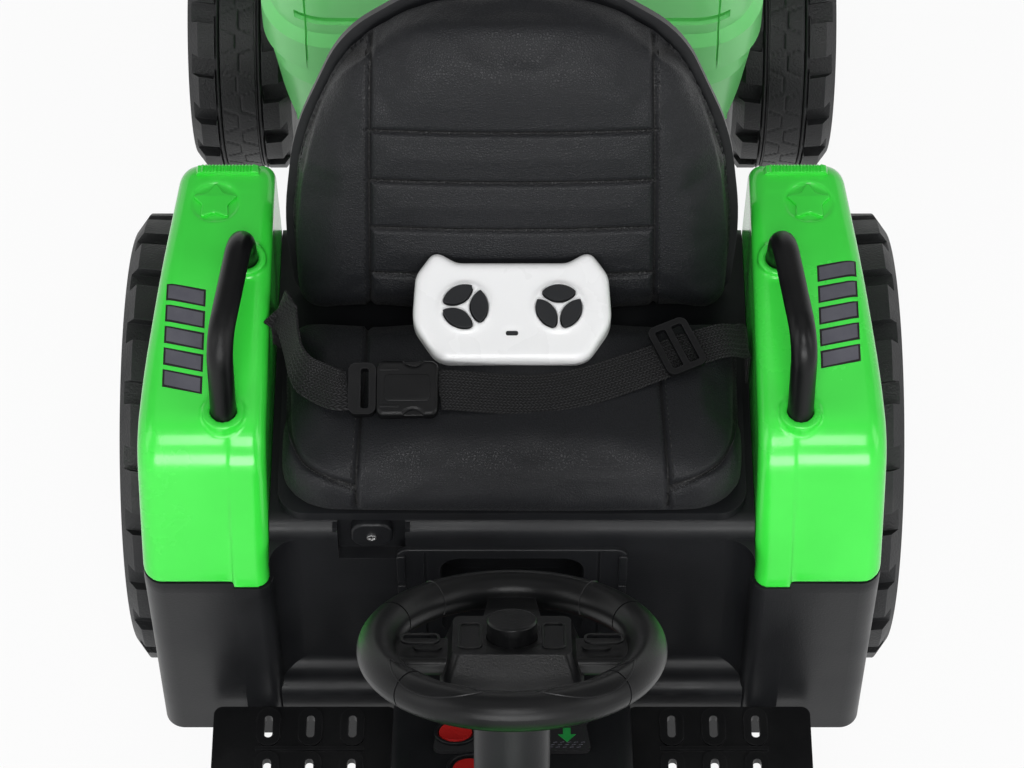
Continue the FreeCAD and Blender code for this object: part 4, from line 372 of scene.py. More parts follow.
def webbingFinish(name, look):
    material, tree, shader = newMaterial(name, look["sockets"])
    weave = placeGroup(tree, weaveGroup)
    # painted shade between the yarns, from dark to light by yarn height
    paintedShade = mixColour(tree, weave.outputs["PaintedShade"], look["dark"], look["light"])
    link(tree, paintedShade, shader.inputs["Base Color"])
    setRough(tree, shader, weave.outputs["Height"], look)
    addBump(tree, shader, weave.outputs["Height"], look)
    return material


inkLook = {"sockets": {"Specular IOR Level": 0.4}, "grains": 1400.0, "mottle": 60.0, "rough": (0.34, 0.46),
           "bump": 0.05, "depth": 0.0002}
inkColours = {
    "blackThread": ((0.0040, 0.0040, 0.0045), (0.010, 0.010, 0.011)),
    "decalGrey": ((0.085, 0.085, 0.105), (0.105, 0.105, 0.125)),
    "decalBlack": ((0.010, 0.009, 0.010), (0.014, 0.012, 0.013)),
    "iconYellow": ((0.72, 0.62, 0.02), (0.80, 0.70, 0.04)),
    "iconGreen": ((0.02, 0.30, 0.06), (0.03, 0.36, 0.08)),
}


def inkFinish(name, colours):
    # thread or printed foil: a thin even coat
    material, tree, shader = newMaterial(name, inkLook["sockets"])
    grain = placeGrain(tree, inkLook)
    link(tree, mixColour(tree, grain.outputs["Mottle"], *colours), shader.inputs["Base Color"])
    setRough(tree, shader, grain.outputs["Mottle"], inkLook)
    addBump(tree, shader, grain.outputs["Height"], inkLook)
    return material


lensLook = {"sockets": {"Base Color": (0.97, 0.98, 0.99, 1), "Metallic": 0.0, "IOR": 1.49,
                        "Transmission Weight": 1.0},
            "grains": 240.0, "mottle": 40.0, "rough": (0.04, 0.10), "bump": 0.04, "depth": 0.0003}


def lensFinish(name, look):
    material, tree, shader = newMaterial(name, look["sockets"])
    grain = placeGrain(tree, look)
    setRough(tree, shader, grain.outputs["Mottle"], look)
    addBump(tree, shader, grain.outputs["Height"], look)
    return material


finishes = {name: mouldedPlastic(name, look) for name, look in plasticLooks.items()}
finishes["zincSteel"] = zincFinish("zincSteel", zincLook)
finishes["blackLeatherette"] = leatherFinish("blackLeatherette", leatherLook)
finishes["blackWebbing"] = webbingFinish("blackWebbing", webbingLook)
finishes.update({name: inkFinish(name, colours) for name, colours in inkColours.items()})
finishes["clearLens"] = lensFinish("clearLens", lensLook)
print("finishes:", len(finishes))


# mesh helpers
sharpFrom = {"piece": 40.0, "plate": 38.0, "strap": 60.0, "tread": 50.0}  # degrees between faces


def gridFaces(rows, columns, closed=False):
    # faces between rings of points; closed joins the last ring to the first
    faces = []
    for i in range(rows if closed else rows - 1):
        a, b = i * columns, (i + 1) % rows * columns
        for k in range(columns):
            n = (k + 1) % columns
            faces.append((a + k, a + n, b + n, b + k))
    return faces


def faceOutward(mesh, merge=0.0):
    form = bmesh.new()
    form.from_mesh(mesh)
    if merge:
        bmesh.ops.remove_doubles(form, verts=form.verts, dist=merge)
    bmesh.ops.recalc_face_normals(form, faces=form.faces)
    form.to_mesh(mesh)
    form.free()


def newObject(name, data):
    obj = bpy.data.objects.new(name, data)
    scene.collection.objects.link(obj)
    return obj


def meshOf(name, verts, faces):
    mesh = bpy.data.meshes.new(name)
    mesh.from_pydata(verts, [], faces)
    return mesh


def wear(mesh, finish):
    mesh.shade_smooth()
    mesh.materials.clear()
    mesh.materials.append(finishes[finish])


def finishPiece(name, mesh, finish, body, sharp):
    wear(mesh, finish)
    mesh.set_sharp_from_angle(angle=math.radians(sharpFrom[sharp]))
    piece = newObject(name, mesh)
    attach(piece, body)
    return piece


def addPiece(name, verts, faces, finish, body, plane=floorPlane, sharp="piece"):
    mesh = meshOf(name, [plane @ Vector(v) for v in verts], faces)
    mesh.validate()
    return finishPiece(name, mesh, finish, body, sharp)


def addModifier(obj, name, kind, **settings):
    modifier = obj.modifiers.new(name, kind)
    for key, value in settings.items():
        setattr(modifier, key, value)
    return modifier


def shapeOf(obj):
    # a new mesh with the modifiers worked in
    bpy.context.view_layer.update()
    return bpy.data.meshes.new_from_object(obj.evaluated_get(bpy.context.evaluated_depsgraph_get()))


def takeShape(obj):
    mesh = shapeOf(obj)
    obj.modifiers.clear()
    obj.data = mesh
    return mesh


def surfaceTree(obj):
    mesh = obj.data
    return BVHTree.FromPolygons([v.co for v in mesh.vertices], [tuple(p.vertices) for p in mesh.polygons])


def roundedLoop(corners, steps=6):
    # (x, y, radius) corners in mm to points in metres
    nearlyStraight = 1.55
    loop = []
    for i, (x, y, radius) in enumerate(corners):
        p = Vector((x, y))
        before = (Vector(corners[i - 1][:2]) - p).normalized()
        after = (Vector(corners[(i + 1) % len(corners)][:2]) - p).normalized()
        half = before.angle(after) / 2
        if radius <= 0 or half > nearlyStraight:
            loop.append(p * mm)
            continue
        reach = radius / math.tan(half)
        centre = p + (before + after).normalized() * (radius / math.sin(half))
        start = p + before * reach - centre
        stop = p + after * reach - centre
        for k in range(steps + 1):
            loop.append((centre + start.slerp(stop, k / steps).normalized() * radius) * mm)
    return loop


def boxLoop(x0, x1, y0, y1, radius):
    return roundedLoop([(x0, y0, radius), (x1, y0, radius), (x1, y1, radius), (x0, y1, radius)])


def discLoop(x, y, radius, steps=32):
    turns = [2 * math.pi * k / steps for k in range(steps)]
    return [Vector((x + radius * math.cos(turn), y + radius * math.sin(turn))) * mm for turn in turns]


def platePiece(name, loops, low, high, bevel, finish, body, plane):
    # a flat piece with rounded edges; inner loops are holes
    curve = bpy.data.curves.new(name, "CURVE")
    curve.dimensions = "2D"
    curve.fill_mode = "BOTH"
    curve.extrude = (high - low) / 2 * mm - bevel * mm
    curve.bevel_depth = bevel * mm
    curve.bevel_resolution = 3
    curve.offset = -bevel * mm
    for loop in loops:
        spline = curve.splines.new("POLY")
        spline.points.add(len(loop) - 1)
        for point, place in zip(spline.points, loop):
            point.co = (place.x, place.y, 0, 1)
        spline.use_cyclic_u = True
    holder = newObject(name + "Curve", curve)
    mesh = shapeOf(holder)
    bpy.data.objects.remove(holder)
    faceOutward(mesh, merge=0.01 * mm)
    mesh.transform(plane @ Matrix.Translation((0, 0, (high + low) / 2 * mm)))
    return finishPiece(name, mesh, finish, body, "plate")


def smoothPath(points, step):
    # a Catmull-Rom line through the points, in even small steps
    fine = []
    for i in range(len(points) - 1):
        p0 = points[max(i - 1, 0)]
        p1 = points[i]
        p2 = points[i + 1]
        p3 = points[min(i + 2, len(points) - 1)]
        count = max(2, round((p2 - p1).length / step))
        for k in range(count):
            t = k / count
            fine.append(0.5 * ((2 * p1) + (p2 - p0) * t + (2 * p0 - 5 * p1 + 4 * p2 - p3) * t * t
                               + (3 * p1 - p0 - 3 * p2 + p3) * t ** 3))
    return fine + [points[-1].copy()]


def lineDistance(point, line):
    gaps = []
    for a, b in zip(line, line[1:]):
        run = b - a
        share = max(0.0, min(1.0, (point - a).dot(run) / run.length_squared))
        gaps.append((point - a - run * share).length)
    return min(gaps)


def addTube(verts, faces, rings, tubeSides, closed=False):
    # a tube through (place, side, up, radius) rings, with flat ends unless it is closed
    first = len(verts)
    for place, side, up, radius in rings:
        for k in range(tubeSides):
            turn = 2 * math.pi * k / tubeSides
            verts.append(place + (side * math.cos(turn) + up * math.sin(turn)) * radius)
    for face in gridFaces(len(rings), tubeSides, closed):
        faces.append(tuple(first + k for k in face))
    if not closed:
        last = first + (len(rings) - 1) * tubeSides
        faces.append(tuple(first + k for k in reversed(range(tubeSides))))
        faces.append(tuple(last + k for k in range(tubeSides)))


def mirrored(sign, near, far):
    return sorted((sign * near, sign * far))


# the studio: floor and wall in one white sweep, soft lamps, and the camera of the photograph
studioLook = {"sweep": ((0.0, 0.0), (6.5, 0.0), (7.6, 0.12), (8.5, 0.6), (9.0, 1.4), (9.1, 3.8)),
              "steps": 96, "paint": 0.86, "rough": 0.9, "glow": 0.93, "worldLight": 0.28}
lampLooks = {
    "overheadLamp": {"place": (0.0, 0.25, 2.7), "aim": (0.0, 0.0, 0.3), "size": (2.4, 1.3), "watts": 3.0},
    "leftLamp": {"place": (2.4, -0.9, 1.9), "aim": (0.0, -0.1, 0.3), "size": (1.0, 1.8), "watts": 11.0},
    "rightLamp": {"place": (-2.4, -0.9, 1.9), "aim": (0.0, -0.1, 0.3), "size": (1.0, 1.8), "watts": 11.0},
    "frontLamp": {"place": (0.0, -3.2, 1.7), "aim": (0.0, -0.1, 0.25), "size": (2.6, 0.9), "watts": 66.0},
    "cameraLamp": {"place": (0.0, -1.9, 2.9), "aim": (0.0, -0.1, 0.25), "size": (1.2, 0.8), "watts": 27.0},
}
cameraLook = {"place": (0.0, -1.255, 2.110), "pitch": 35.0, "lens": 123.05, "sensor": 36.0, "far": 60.0}


def whiteSweep():
    steps = studioLook["steps"]
    verts = []
    for reach, height in studioLook["sweep"]:
        for k in range(steps):
            turn = 2 * math.pi * k / steps
            verts.append((reach * math.cos(turn), reach * math.sin(turn), height))
    mesh = meshOf("whiteSweep", verts, gridFaces(len(studioLook["sweep"]), steps))
    mesh.shade_smooth()
    paint = studioLook["paint"]
    material, tree, shader = newMaterial("whiteSweep", {
        "Base Color": (paint, paint, paint, 1), "Roughness": studioLook["rough"],
        "Specular IOR Level": 0.0})
    path = addNode(tree, "ShaderNodeLightPath")
    seen = mathNode(tree, "MAXIMUM", path.outputs["Is Camera Ray"], path.outputs["Is Glossy Ray"])
    seen = mathNode(tree, "MAXIMUM", seen, path.outputs["Is Transmission Ray"])
    glow = addNode(tree, "ShaderNodeEmission", {"Color": (1, 1, 1, 1), "Strength": 1.0})
    mixed = addNode(tree, "ShaderNodeMixShader")
    link(tree, times(tree, seen, studioLook["glow"]), mixed.inputs["Fac"])
    link(tree, shader.outputs["BSDF"], mixed.inputs[1])
    link(tree, glow.outputs["Emission"], mixed.inputs[2])
    link(tree, mixed.outputs["Shader"], tree.nodes["Material Output"].inputs["Surface"])
    mesh.materials.append(material)
    newObject("whiteSweep", mesh)


def setLamps():
    world = bpy.data.worlds.new("softStudio")
    scene.world = world
    world.use_nodes = True
    background = world.node_tree.nodes["Background"]
    background.inputs["Color"].default_value = (1, 1, 1, 1)
    background.inputs["Strength"].default_value = studioLook["worldLight"]
    for name, look in lampLooks.items():
        light = bpy.data.lights.new(name, "AREA")
        light.shape = "RECTANGLE"
        light.size, light.size_y = look["size"]
        light.energy = look["watts"]
        lamp = newObject(name, light)
        lamp.location = look["place"]
        aim = Vector(look["aim"]) - Vector(look["place"])
        lamp.rotation_euler = aim.to_track_quat("-Z", "Y").to_euler()


def setCamera():
    lens = bpy.data.cameras.new("photoCamera")
    lens.lens = cameraLook["lens"]
    lens.sensor_width = cameraLook["sensor"]
    lens.clip_end = cameraLook["far"]
    camera = newObject("photoCamera", lens)
    camera.location = cameraLook["place"]
    camera.rotation_euler = (math.radians(cameraLook["pitch"]), 0, 0)
    scene.camera = camera


scene.view_settings.view_transform = "Standard"
whiteSweep()
setLamps()
setCamera()
print("studio ready")


# which finish each CAD piece wears
wheels = [side + "_" + axle for side in sides for axle in axles]
dressing = {
    "blackShell": ["rear_body", "access_panel", "console", "seat_shell", "seat_latch", "steering_column",
                   "accelerator_pedal", "chassis", "grille", "exhaust_stack", "trailer_drawbar",
                   "direction_switch"],
    "gripBlack": ["left_footboard", "right_footboard", "grab_handles", "steering_wheel", "horn_button",
                  "belt_buckle_socket", "belt_buckle_plug", "belt_slider"],
    "greenShell": ["left_fender", "right_fender", "hood"],
    "paleGreenTub": ["trailer_tub", "trailer_boards"],
    "tyreBlack": [wheel + "_wheel" for wheel in wheels],
    "greyMoulding": [wheel + "_hubcap" for wheel in wheels] + ["control_box", "gear_motors"],
    "switchPlate": ["switch_panel"],
    "whiteHandset": ["remote_shell"],
    "keyRubber": ["remote_left_keys", "remote_right_keys"],
    "redSwitch": ["light_switch", "start_button"],
    "batteryCase": ["battery"],
    "zincSteel": ["rear_axle", "steering_shaft", "tie_rod", "left_knuckle", "right_knuckle",
                  "front_axle_beam", "trailer_axle", "hitch_pin", "hitch_bracket"],
    "clearLens": ["headlights"],
    "blackLeatherette": ["seat_cushion", "back_cushion"],
    "blackWebbing": ["belt_left_strap", "belt_right_strap"],
}
for finish, names in dressing.items():
    for name in names:
        nodes[name].data.materials.clear()
        nodes[name].data.materials.append(finishes[finish])
print("dressed:", sum(len(names) for names in dressing.values()), "of", len(nodes))


# seat and back cushions, swollen by cloth pressure and then sewn; seam lines are half plans in mm
cushionLook = {"voxel": 0.0045, "shrink": 0.0012, "pressure": 4.0, "quality": 5, "frames": 20, "cap": 0.0045,
               "ease": 0.5, "easeRounds": 5, "fineReach": 0.0048, "fineCuts": 2, "underside": -0.25,
               "seamDepth": 0.0025, "seamWidth": 0.0019, "seamShadeWidth": 0.0009, "boxStep": 0.004,
               "channelHalf": 88.5, "channels": ()}
backHeight = 217.0
seatLook = dict(cushionLook, node="seat_cushion", plane=floorPlane, restBelow=0.3025, puff=0.0012,
                puffWidth=0.020, fill=0.8,
                panel=((90, 50), (91, 0), (93, -45), (96, -95)),
                beside=((93, 40), (94, 0), (96, -45), (98.5, -82)),
                box=((95.5, -83), (112, -79.5), (127, -69), (135.5, -52), (139, -30), (140.5, 0), (140, 28)))
backLook = dict(cushionLook, node="back_cushion", plane=backPlane, restBelow=0.003, puff=0.0016,
                puffWidth=0.017, fill=0.75,
                channels=[backHeight * share for share in (0.18, 0.338, 0.495, 0.655)],
                panel=((90, -5), (89, 60), (87.5, 140), (86, 225)),
                beside=((92.6, 5), (91.6, 60), (90.1, 140), (88.8, 196)),
                box=((87, 190), (106, 174), (121, 145), (131, 109), (136.5, 73), (138.2, 45), (138.5, 10)))
stitchLook = {"pitch": 0.0042, "radius": 0.00042, "sides": 6,
              "spots": ((0.18, -0.3, 0.55), (0.5, 0.7, 1.0), (0.82, -0.3, 0.55))}  # share, lift, girth


def moveTo(mesh, places):
    for v, place in zip(mesh.vertices, places):
        v.co = place


def clothSwell(cushion, pinned, start, look):
    # the leather swells for some frames; no point goes farther than the cap
    cushion.vertex_groups.new(name="rest").add(pinned, 1.0, "REPLACE")
    cloth = cushion.modifiers.new("swell", "CLOTH")
    cloth.settings.quality = look["quality"]
    cloth.settings.use_pressure = True
    cloth.settings.uniform_pressure_force = look["pressure"]
    cloth.settings.vertex_group_mass = "rest"
    cloth.settings.effector_weights.gravity = 0.0
    cloth.collision_settings.use_collision = False
    for step in range(1, look["frames"] + 1):
        scene.frame_set(step)
    swollen = cushion.evaluated_get(bpy.context.evaluated_depsgraph_get()).data
    places = []
    for v, place in zip(swollen.vertices, start):
        move = v.co - place
        if move.length > look["cap"]:
            move = move.normalized() * look["cap"]
        places.append(place + move)
    cushion.modifiers.clear()
    cushion.vertex_groups.clear()
    scene.frame_set(1)
    return places


def swellCushion(name, look):
    cushion = newObject(name, nodes[look["node"]].data.copy())
    addModifier(cushion, "evenMesh", "REMESH", mode="VOXEL", voxel_size=look["voxel"])
    mesh = takeShape(cushion)
    flat = look["plane"].inverted()
    pinned = [v.index for v in mesh.vertices if (flat @ v.co).z < look["restBelow"]]
    shrunk = [v.co - v.normal * look["shrink"] for v in mesh.vertices]
    moveTo(mesh, shrunk)
    moveTo(mesh, clothSwell(cushion, pinned, shrunk, look))
    addModifier(cushion, "even", "SMOOTH", factor=look["ease"], iterations=look["easeRounds"])
    addModifier(cushion, "finer", "SUBSURF", levels=1)
    takeShape(cushion)
    return cushion


def seamGaps(form, seams, look):
    # how far each point of the face and sides lies from the nearest seam
    flat = look["plane"].inverted()
    up = look["plane"].to_3x3() @ Vector((0, 0, 1))
    gaps = {}
    for v in form.verts:
        if v.normal.dot(up) > look["underside"]:
            place = (flat @ v.co).to_2d()
            gaps[v] = min(lineDistance(place, seam) for seam in seams)
    return gaps


def sewSeams(cushion, seams, look):
    # finer mesh along each seam, then the seam pulled in and the panels puffed between, and a mask of
    # painted shade along each seam groove
    up = look["plane"].to_3x3() @ Vector((0, 0, 1))
    form = bmesh.new()
    form.from_mesh(cushion.data)
    form.normal_update()
    gaps = seamGaps(form, seams, look)
    close = [e for e in form.edges if all(gaps.get(v, 1.0) < look["fineReach"] for v in e.verts)]
    bmesh.ops.subdivide_edges(form, edges=close, cuts=look["fineCuts"], use_grid_fill=True, smooth=0.0)
    sewn = form.verts.layers.float.new("seam")
    form.normal_update()
    moves = {}
    for v, gap in seamGaps(form, seams, look).items():
        dip = look["seamDepth"] * math.exp(-(gap / look["seamWidth"]) ** 2)
        puffed = 1 - math.exp(-(gap / look["puffWidth"]) ** 2)
        swell = look["puff"] * puffed * max(0.0, v.normal.dot(up))
        moves[v] = v.co + v.normal * (swell - dip)
        # painted shade: the seam attribute marks the groove to be darkened
        v[sewn] = math.exp(-(gap / look["seamShadeWidth"]) ** 2)
    for v, place in moves.items():
        v.co = place
    form.normal_update()
    form.to_mesh(cushion.data)
    form.free()
    wear(cushion.data, "blackLeatherette")


def stitchRow(name, cushion, lines, plane, body):
    # short threads laid on the leather along each line
    tree = surfaceTree(cushion)
    down = plane.to_3x3() @ Vector((0, 0, -1))
    radius = stitchLook["radius"]
    spots = stitchLook["spots"]
    verts = []
    faces = []
    for line in lines:
        path = smoothPath(line, stitchLook["pitch"])
        for a, b in zip(path, path[1:]):
            starts = [plane @ a.lerp(b, spot[0]).to_3d() - down for spot in spots]
            hits = [tree.ray_cast(start, down) for start in starts]
            if any(hit[0] is None for hit in hits):
                continue
            points = [hit[0] + hit[1] * radius * spot[1] for hit, spot in zip(hits, spots)]
            along = (points[2] - points[0]).normalized()
            side = along.cross(hits[1][1]).normalized()
            up = side.cross(along)
            rings = [(point, side, up, radius * spot[2]) for point, spot in zip(points, spots)]
            addTube(verts, faces, rings, stitchLook["sides"])
    return addPiece(name, verts, faces, "blackThread", body)


def planLine(points):
    return [Vector(p) * mm for p in points]


def mirroredLine(line):
    return [line, [Vector((-p.x, p.y)) for p in line]]


def makeCushion(name, stitches, look):
    panel = mirroredLine(planLine(look["panel"]))
    beside = mirroredLine(planLine(look["beside"]))
    box = mirroredLine(smoothPath(planLine(look["box"]), look["boxStep"]))
    half = look["channelHalf"]
    channels = [planLine(((-half, level), (0, level), (half, level))) for level in look["channels"]]
    cushion = swellCushion(name, look)
    sewSeams(cushion, panel + box + channels, look)
    stitchRow(stitches, cushion, beside + box + channels, look["plane"], "seat")
    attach(cushion, "seat")
    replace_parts(cushion, look["node"])


makeCushion("seatCushion", "seatStitches", seatLook)
makeCushion("backCushion", "backStitches", backLook)
print("cushions sewn")


# lap belt: each stop is a place in mm, then the strap's turn and tilt in degrees
beltLook = {"width": 25.4, "thick": 1.5, "ribs": 14, "ribColumns": 3, "ribDepth": 0.16, "ribPower": 0.6,
            "selvedge": 0.9, "step": 0.0022, "turnStep": 1.0}
leftRoute = ((-44.5, -30.0, 354.1, 0, 20), (-37.5, -30.0, 354.1, 0, 20), (9.1, -30.6, 349.9, 3, 18.7),
             (43.8, -24.3, 349.3, -12, 14), (80.0, -8.9, 347.5, -22, 9), (110.3, 6.2, 345.7, -22, 4.8),
             (130.8, 13.8, 345.0, -14, 2), (141.6, 17.0, 339.6, -8, 0.5), (146.3, 19.1, 336.0, 0, 0),
             (147.4, 19.1, 323.2, 0, 0), (147.4, 19.1, 308.7, 0, 0))
rightRoute = ((-100.5, -30.0, 354.1, 0, 20), (-107.5, -30.0, 354.1, 0, 20), (-119.5, -22.0, 351.1, 40, 60),
              (-128.1, -16.0, 352.1, 70, 66), (-133.4, -6.0, 352.8, 80, 62), (-136.1, 5.0, 353.8, 73, 51),
              (-138.3, 14.1, 356.1, 55, 46), (-141.0, 21.2, 360.5, 32, 43), (-144.3, 25.1, 362.8, 12, 40),
              (-147.2, 30.4, 346.5, 0, 26), (-147.4, 39.4, 328.0, 0, 26), (-147.4, 48.8, 308.7, 0, 26))


def beltSection():
    # woven ribs run along the strap; the selvedges are round
    columns = beltLook["ribs"] * beltLook["ribColumns"]
    depth = beltLook["ribDepth"]
    section = []
    for k in range(columns + 1):
        share = k / columns
        edge = min(share, 1 - share) * beltLook["width"]
        bulge = math.sqrt(max(0.0, 1 - (1 - min(edge / beltLook["selvedge"], 1.0)) ** 2))
        rib = depth * abs(math.sin(math.pi * beltLook["ribs"] * share)) ** beltLook["ribPower"]
        section.append((share, (beltLook["thick"] / 2 * bulge - depth + rib) * mm))
    return section


def beltRibbon(name, route, body):
    places = smoothPath([Vector(stop[:3]) * mm for stop in route], beltLook["step"])
    turns = smoothPath([Vector((stop[3], stop[4], 0)) for stop in route], beltLook["turnStep"])
    half = beltLook["width"] / 2 * mm
    section = beltSection()
    ring = len(section)
    last = len(places) - 1
    verts = []
    uvs = []
    length = 0.0
    for i, place in enumerate(places):
        if i:
            length += (place - places[i - 1]).length
        ahead = (places[min(i + 1, last)] - places[max(i - 1, 0)]).normalized()
        spot = turns[min(round(i * (len(turns) - 1) / last), len(turns) - 1)]
        turn, tilt = math.radians(spot.x), math.radians(spot.y)
        side = Vector((math.sin(turn) * math.cos(tilt), math.cos(turn) * math.cos(tilt), math.sin(tilt)))
        side = (side - ahead * ahead.dot(side)).normalized()
        up = ahead.cross(side)
        for face in (1, -1):
            for share, rise in section:
                verts.append(place + side * (half * (2 * share - 1)) + up * (rise * face))
                uvs.append((share, length))
    faces = []
    for i in range(last):
        a = i * 2 * ring
        b = a + 2 * ring
        for k in range(ring - 1):
            faces.append((a + k, a + k + 1, b + k + 1, b + k))
            faces.append((a + ring + k + 1, a + ring + k, b + ring + k, b + ring + k + 1))
        faces.append((a + ring, a, b, b + ring))
        faces.append((a + ring - 1, a + 2 * ring - 1, b + 2 * ring - 1, b + ring - 1))
    for end in (0, last * 2 * ring):
        for k in range(ring - 1):
            faces.append((end + k, end + k + 1, end + ring + k + 1, end + ring + k))
    strap = addPiece(name, verts, faces, "blackWebbing", body, sharp="strap")
    layer = strap.data.uv_layers.new(name="weave")
    for loop in strap.data.loops:
        layer.data[loop.index].uv = uvs[loop.vertex_index]
    faceOutward(strap.data)
    return strap


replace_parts(beltRibbon("lapBeltLeft", leftRoute, "seat"), "belt_left_strap")
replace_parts(beltRibbon("lapBeltRight", rightRoute, "seat"), "belt_right_strap")
print("belt laid")


# shells and prints laid over the mouldings
def prism(name, loop, low, high):
    count = len(loop)
    verts = [(p.x, p.y, height * mm) for height in (low, high) for p in loop]
    caps = [tuple(reversed(range(count))), tuple(range(count, 2 * count))]
    return newObject(name, meshOf(name, verts, caps + gridFaces(2, count)))


def softShell(name, node, cutters, look, finish, body):
    # the CAD shell with moulded, softened edges
    shell = newObject(name, nodes[node].data.copy())
    for cutter in cutters:
        addModifier(shell, cutter.name, "BOOLEAN", operation="DIFFERENCE", solver="EXACT", object=cutter)
    addModifier(shell, "evenMesh", "REMESH", mode="VOXEL", voxel_size=look["voxel"])
    addModifier(shell, "soften", "SMOOTH", factor=look["ease"], iterations=look["rounds"])
    wear(takeShape(shell), finish)
    for cutter in cutters:
        bpy.data.objects.remove(cutter)
    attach(shell, body)
    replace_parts(shell, node)
    return shell


def dropOn(tree, x, y):
    return tree.ray_cast(Vector((x, y, 1.0)), Vector((0, 0, -1)))


inkSlab = {"across": 8, "along": 5, "sink": 0.15}


def layPrint(name, tree, bars, lift, finish, body):
    # thin ink slabs that follow the surface below them
    across, along = inkSlab["across"], inkSlab["along"]
    row = along + 1
    under = (across + 1) * row
    verts = []
    faces = []
    for corners in bars:
        a, b, c, d = [Vector(p) * mm for p in corners]
        first = len(verts)
        for height in (lift, -inkSlab["sink"]):
            for i in range(across + 1):
                for k in range(row):
                    p = a.lerp(b, i / across).lerp(d.lerp(c, i / across), k / along)
                    hit = dropOn(tree, p.x, p.y)
                    verts.append(hit[0] + hit[1] * height * mm)
        for i in range(across):
            for k in range(along):
                s = first + i * row + k
                faces.append((s, s + row, s + row + 1, s + 1))
                faces.append((s + under, s + under + 1, s + under + row + 1, s + under + row))
        rim = [first + i * row for i in range(across + 1)]
        rim += [first + across * row + k for k in range(1, row)]
        rim += [first + i * row + along for i in reversed(range(across))]
        rim += [first + k for k in reversed(range(1, along))]
        for s, n in zip(rim, rim[1:] + rim[:1]):
            faces.append((n, s, s + under, n + under))
    faceOutward(addPiece(name, verts, faces, finish, body).data)


# fenders: softened skin, star cap in its dish, rear lip and the generic slanted bars of the decal's place
fenderLook = {"voxel": 0.0011, "ease": 0.5, "rounds": 7, "top": 370.0, "trimX": (155, 202),
              "trimY": (84, 123.5), "clear": 12.0, "cap": (187.0, 104.0), "dish": 15.6, "dishSteps": 48,
              "sink": 1.8}
starLook = {"outer": 15.2, "inner": 8.4, "rounds": (1.3, 4.0), "foot": 4.0, "proud": 0.2, "bevel": 0.9}
lipLook = {"y": 129.0, "x": (157.0, 203.0), "foot": 8.0, "top": 372.6, "slope": 4.0, "margin": 6.0,
           "teeth": 16, "tooth": 1.2, "corner": 1.2, "footCorner": 1.0, "depth": (-4, 2), "bevel": 0.5}
barLook = {"inner": 191.0, "outer": 213.0, "count": 5, "pitch": 14.6, "long": 9.0, "lean": 5.0,
           "starts": {"left": -14.0, "right": -31.0},
           "layers": (("DecalEdge", 1.3, 0.15, "decalBlack"), ("DecalBars", 0.0, 0.40, "decalGrey"))}


def starLoop(x, y):
    corners = []
    for k in range(10):
        turn = math.radians(90 + 36 * k)
        reach = starLook["inner" if k % 2 else "outer"]
        corners.append((x + reach * math.cos(turn), y + reach * math.sin(turn), starLook["rounds"][k % 2]))
    return roundedLoop(corners)


def lipLoop(sign):
    # the toothed outline of the rear lip, seen from behind
    low, high = mirrored(-sign, *lipLook["x"])
    foot, top = fenderLook["top"] - lipLook["foot"], lipLook["top"]
    corner, footCorner = lipLook["corner"], lipLook["footCorner"]
    loop = [(low, foot, footCorner), (high, foot, footCorner), (high - lipLook["slope"], top, corner)]
    pitch = (high - low - 2 * lipLook["margin"]) / lipLook["teeth"]
    for k in range(lipLook["teeth"]):
        at = high - lipLook["margin"] - pitch * k
        loop += [(at, top, 0), (at - pitch / 2, top + lipLook["tooth"], 0)]
    loop.append((low + lipLook["slope"], top, corner))
    return roundedLoop(loop, 3)


def slantedBars(side, sign, grow):
    bars = []
    lean = barLook["lean"]
    near, far = sign * (barLook["inner"] - grow), sign * (barLook["outer"] + grow)
    for k in range(barLook["count"]):
        start = barLook["starts"][side] + barLook["pitch"] * k
        first, last = start - grow, start + barLook["long"] + grow
        bars.append(((near, first), (far, first + lean), (far, last + lean), (near, last)))
    return bars


def makeFender(side, sign):
    x, y = sign * fenderLook["cap"][0], fenderLook["cap"][1]
    top = fenderLook["top"]
    above = top + fenderLook["clear"]
    trimLoop = boxLoop(*mirrored(sign, *fenderLook["trimX"]), *fenderLook["trimY"], 0)
    trim = prism(side + "Trim", trimLoop, top, above)
    dishLoop = discLoop(x, y, fenderLook["dish"], fenderLook["dishSteps"])
    dish = prism(side + "Dish", dishLoop, top - fenderLook["sink"], above)
    shell = softShell(side + "FenderSkin", side + "_fender", [trim, dish], fenderLook, "greenShell",
                      "tractor")
    platePiece(side + "StarCap", [starLoop(x, y)], top - starLook["foot"], top + starLook["proud"],
               starLook["bevel"], "greenShell", "tractor", floorPlane)
    rearFace = framePlane((0, lipLook["y"], 0), (-1, 0, 0), (0, 0, 1))
    platePiece(side + "FenderLip", [lipLoop(sign)], *lipLook["depth"], lipLook["bevel"], "greenShell",
               "tractor", rearFace)
    tree = surfaceTree(shell)
    for name, grow, lift, finish in barLook["layers"]:
        layPrint(side + name, tree, slantedBars(side, sign, grow), lift, finish, "tractor")


for side, sign in sides.items():
    makeFender(side, sign)
print("fenders skinned")


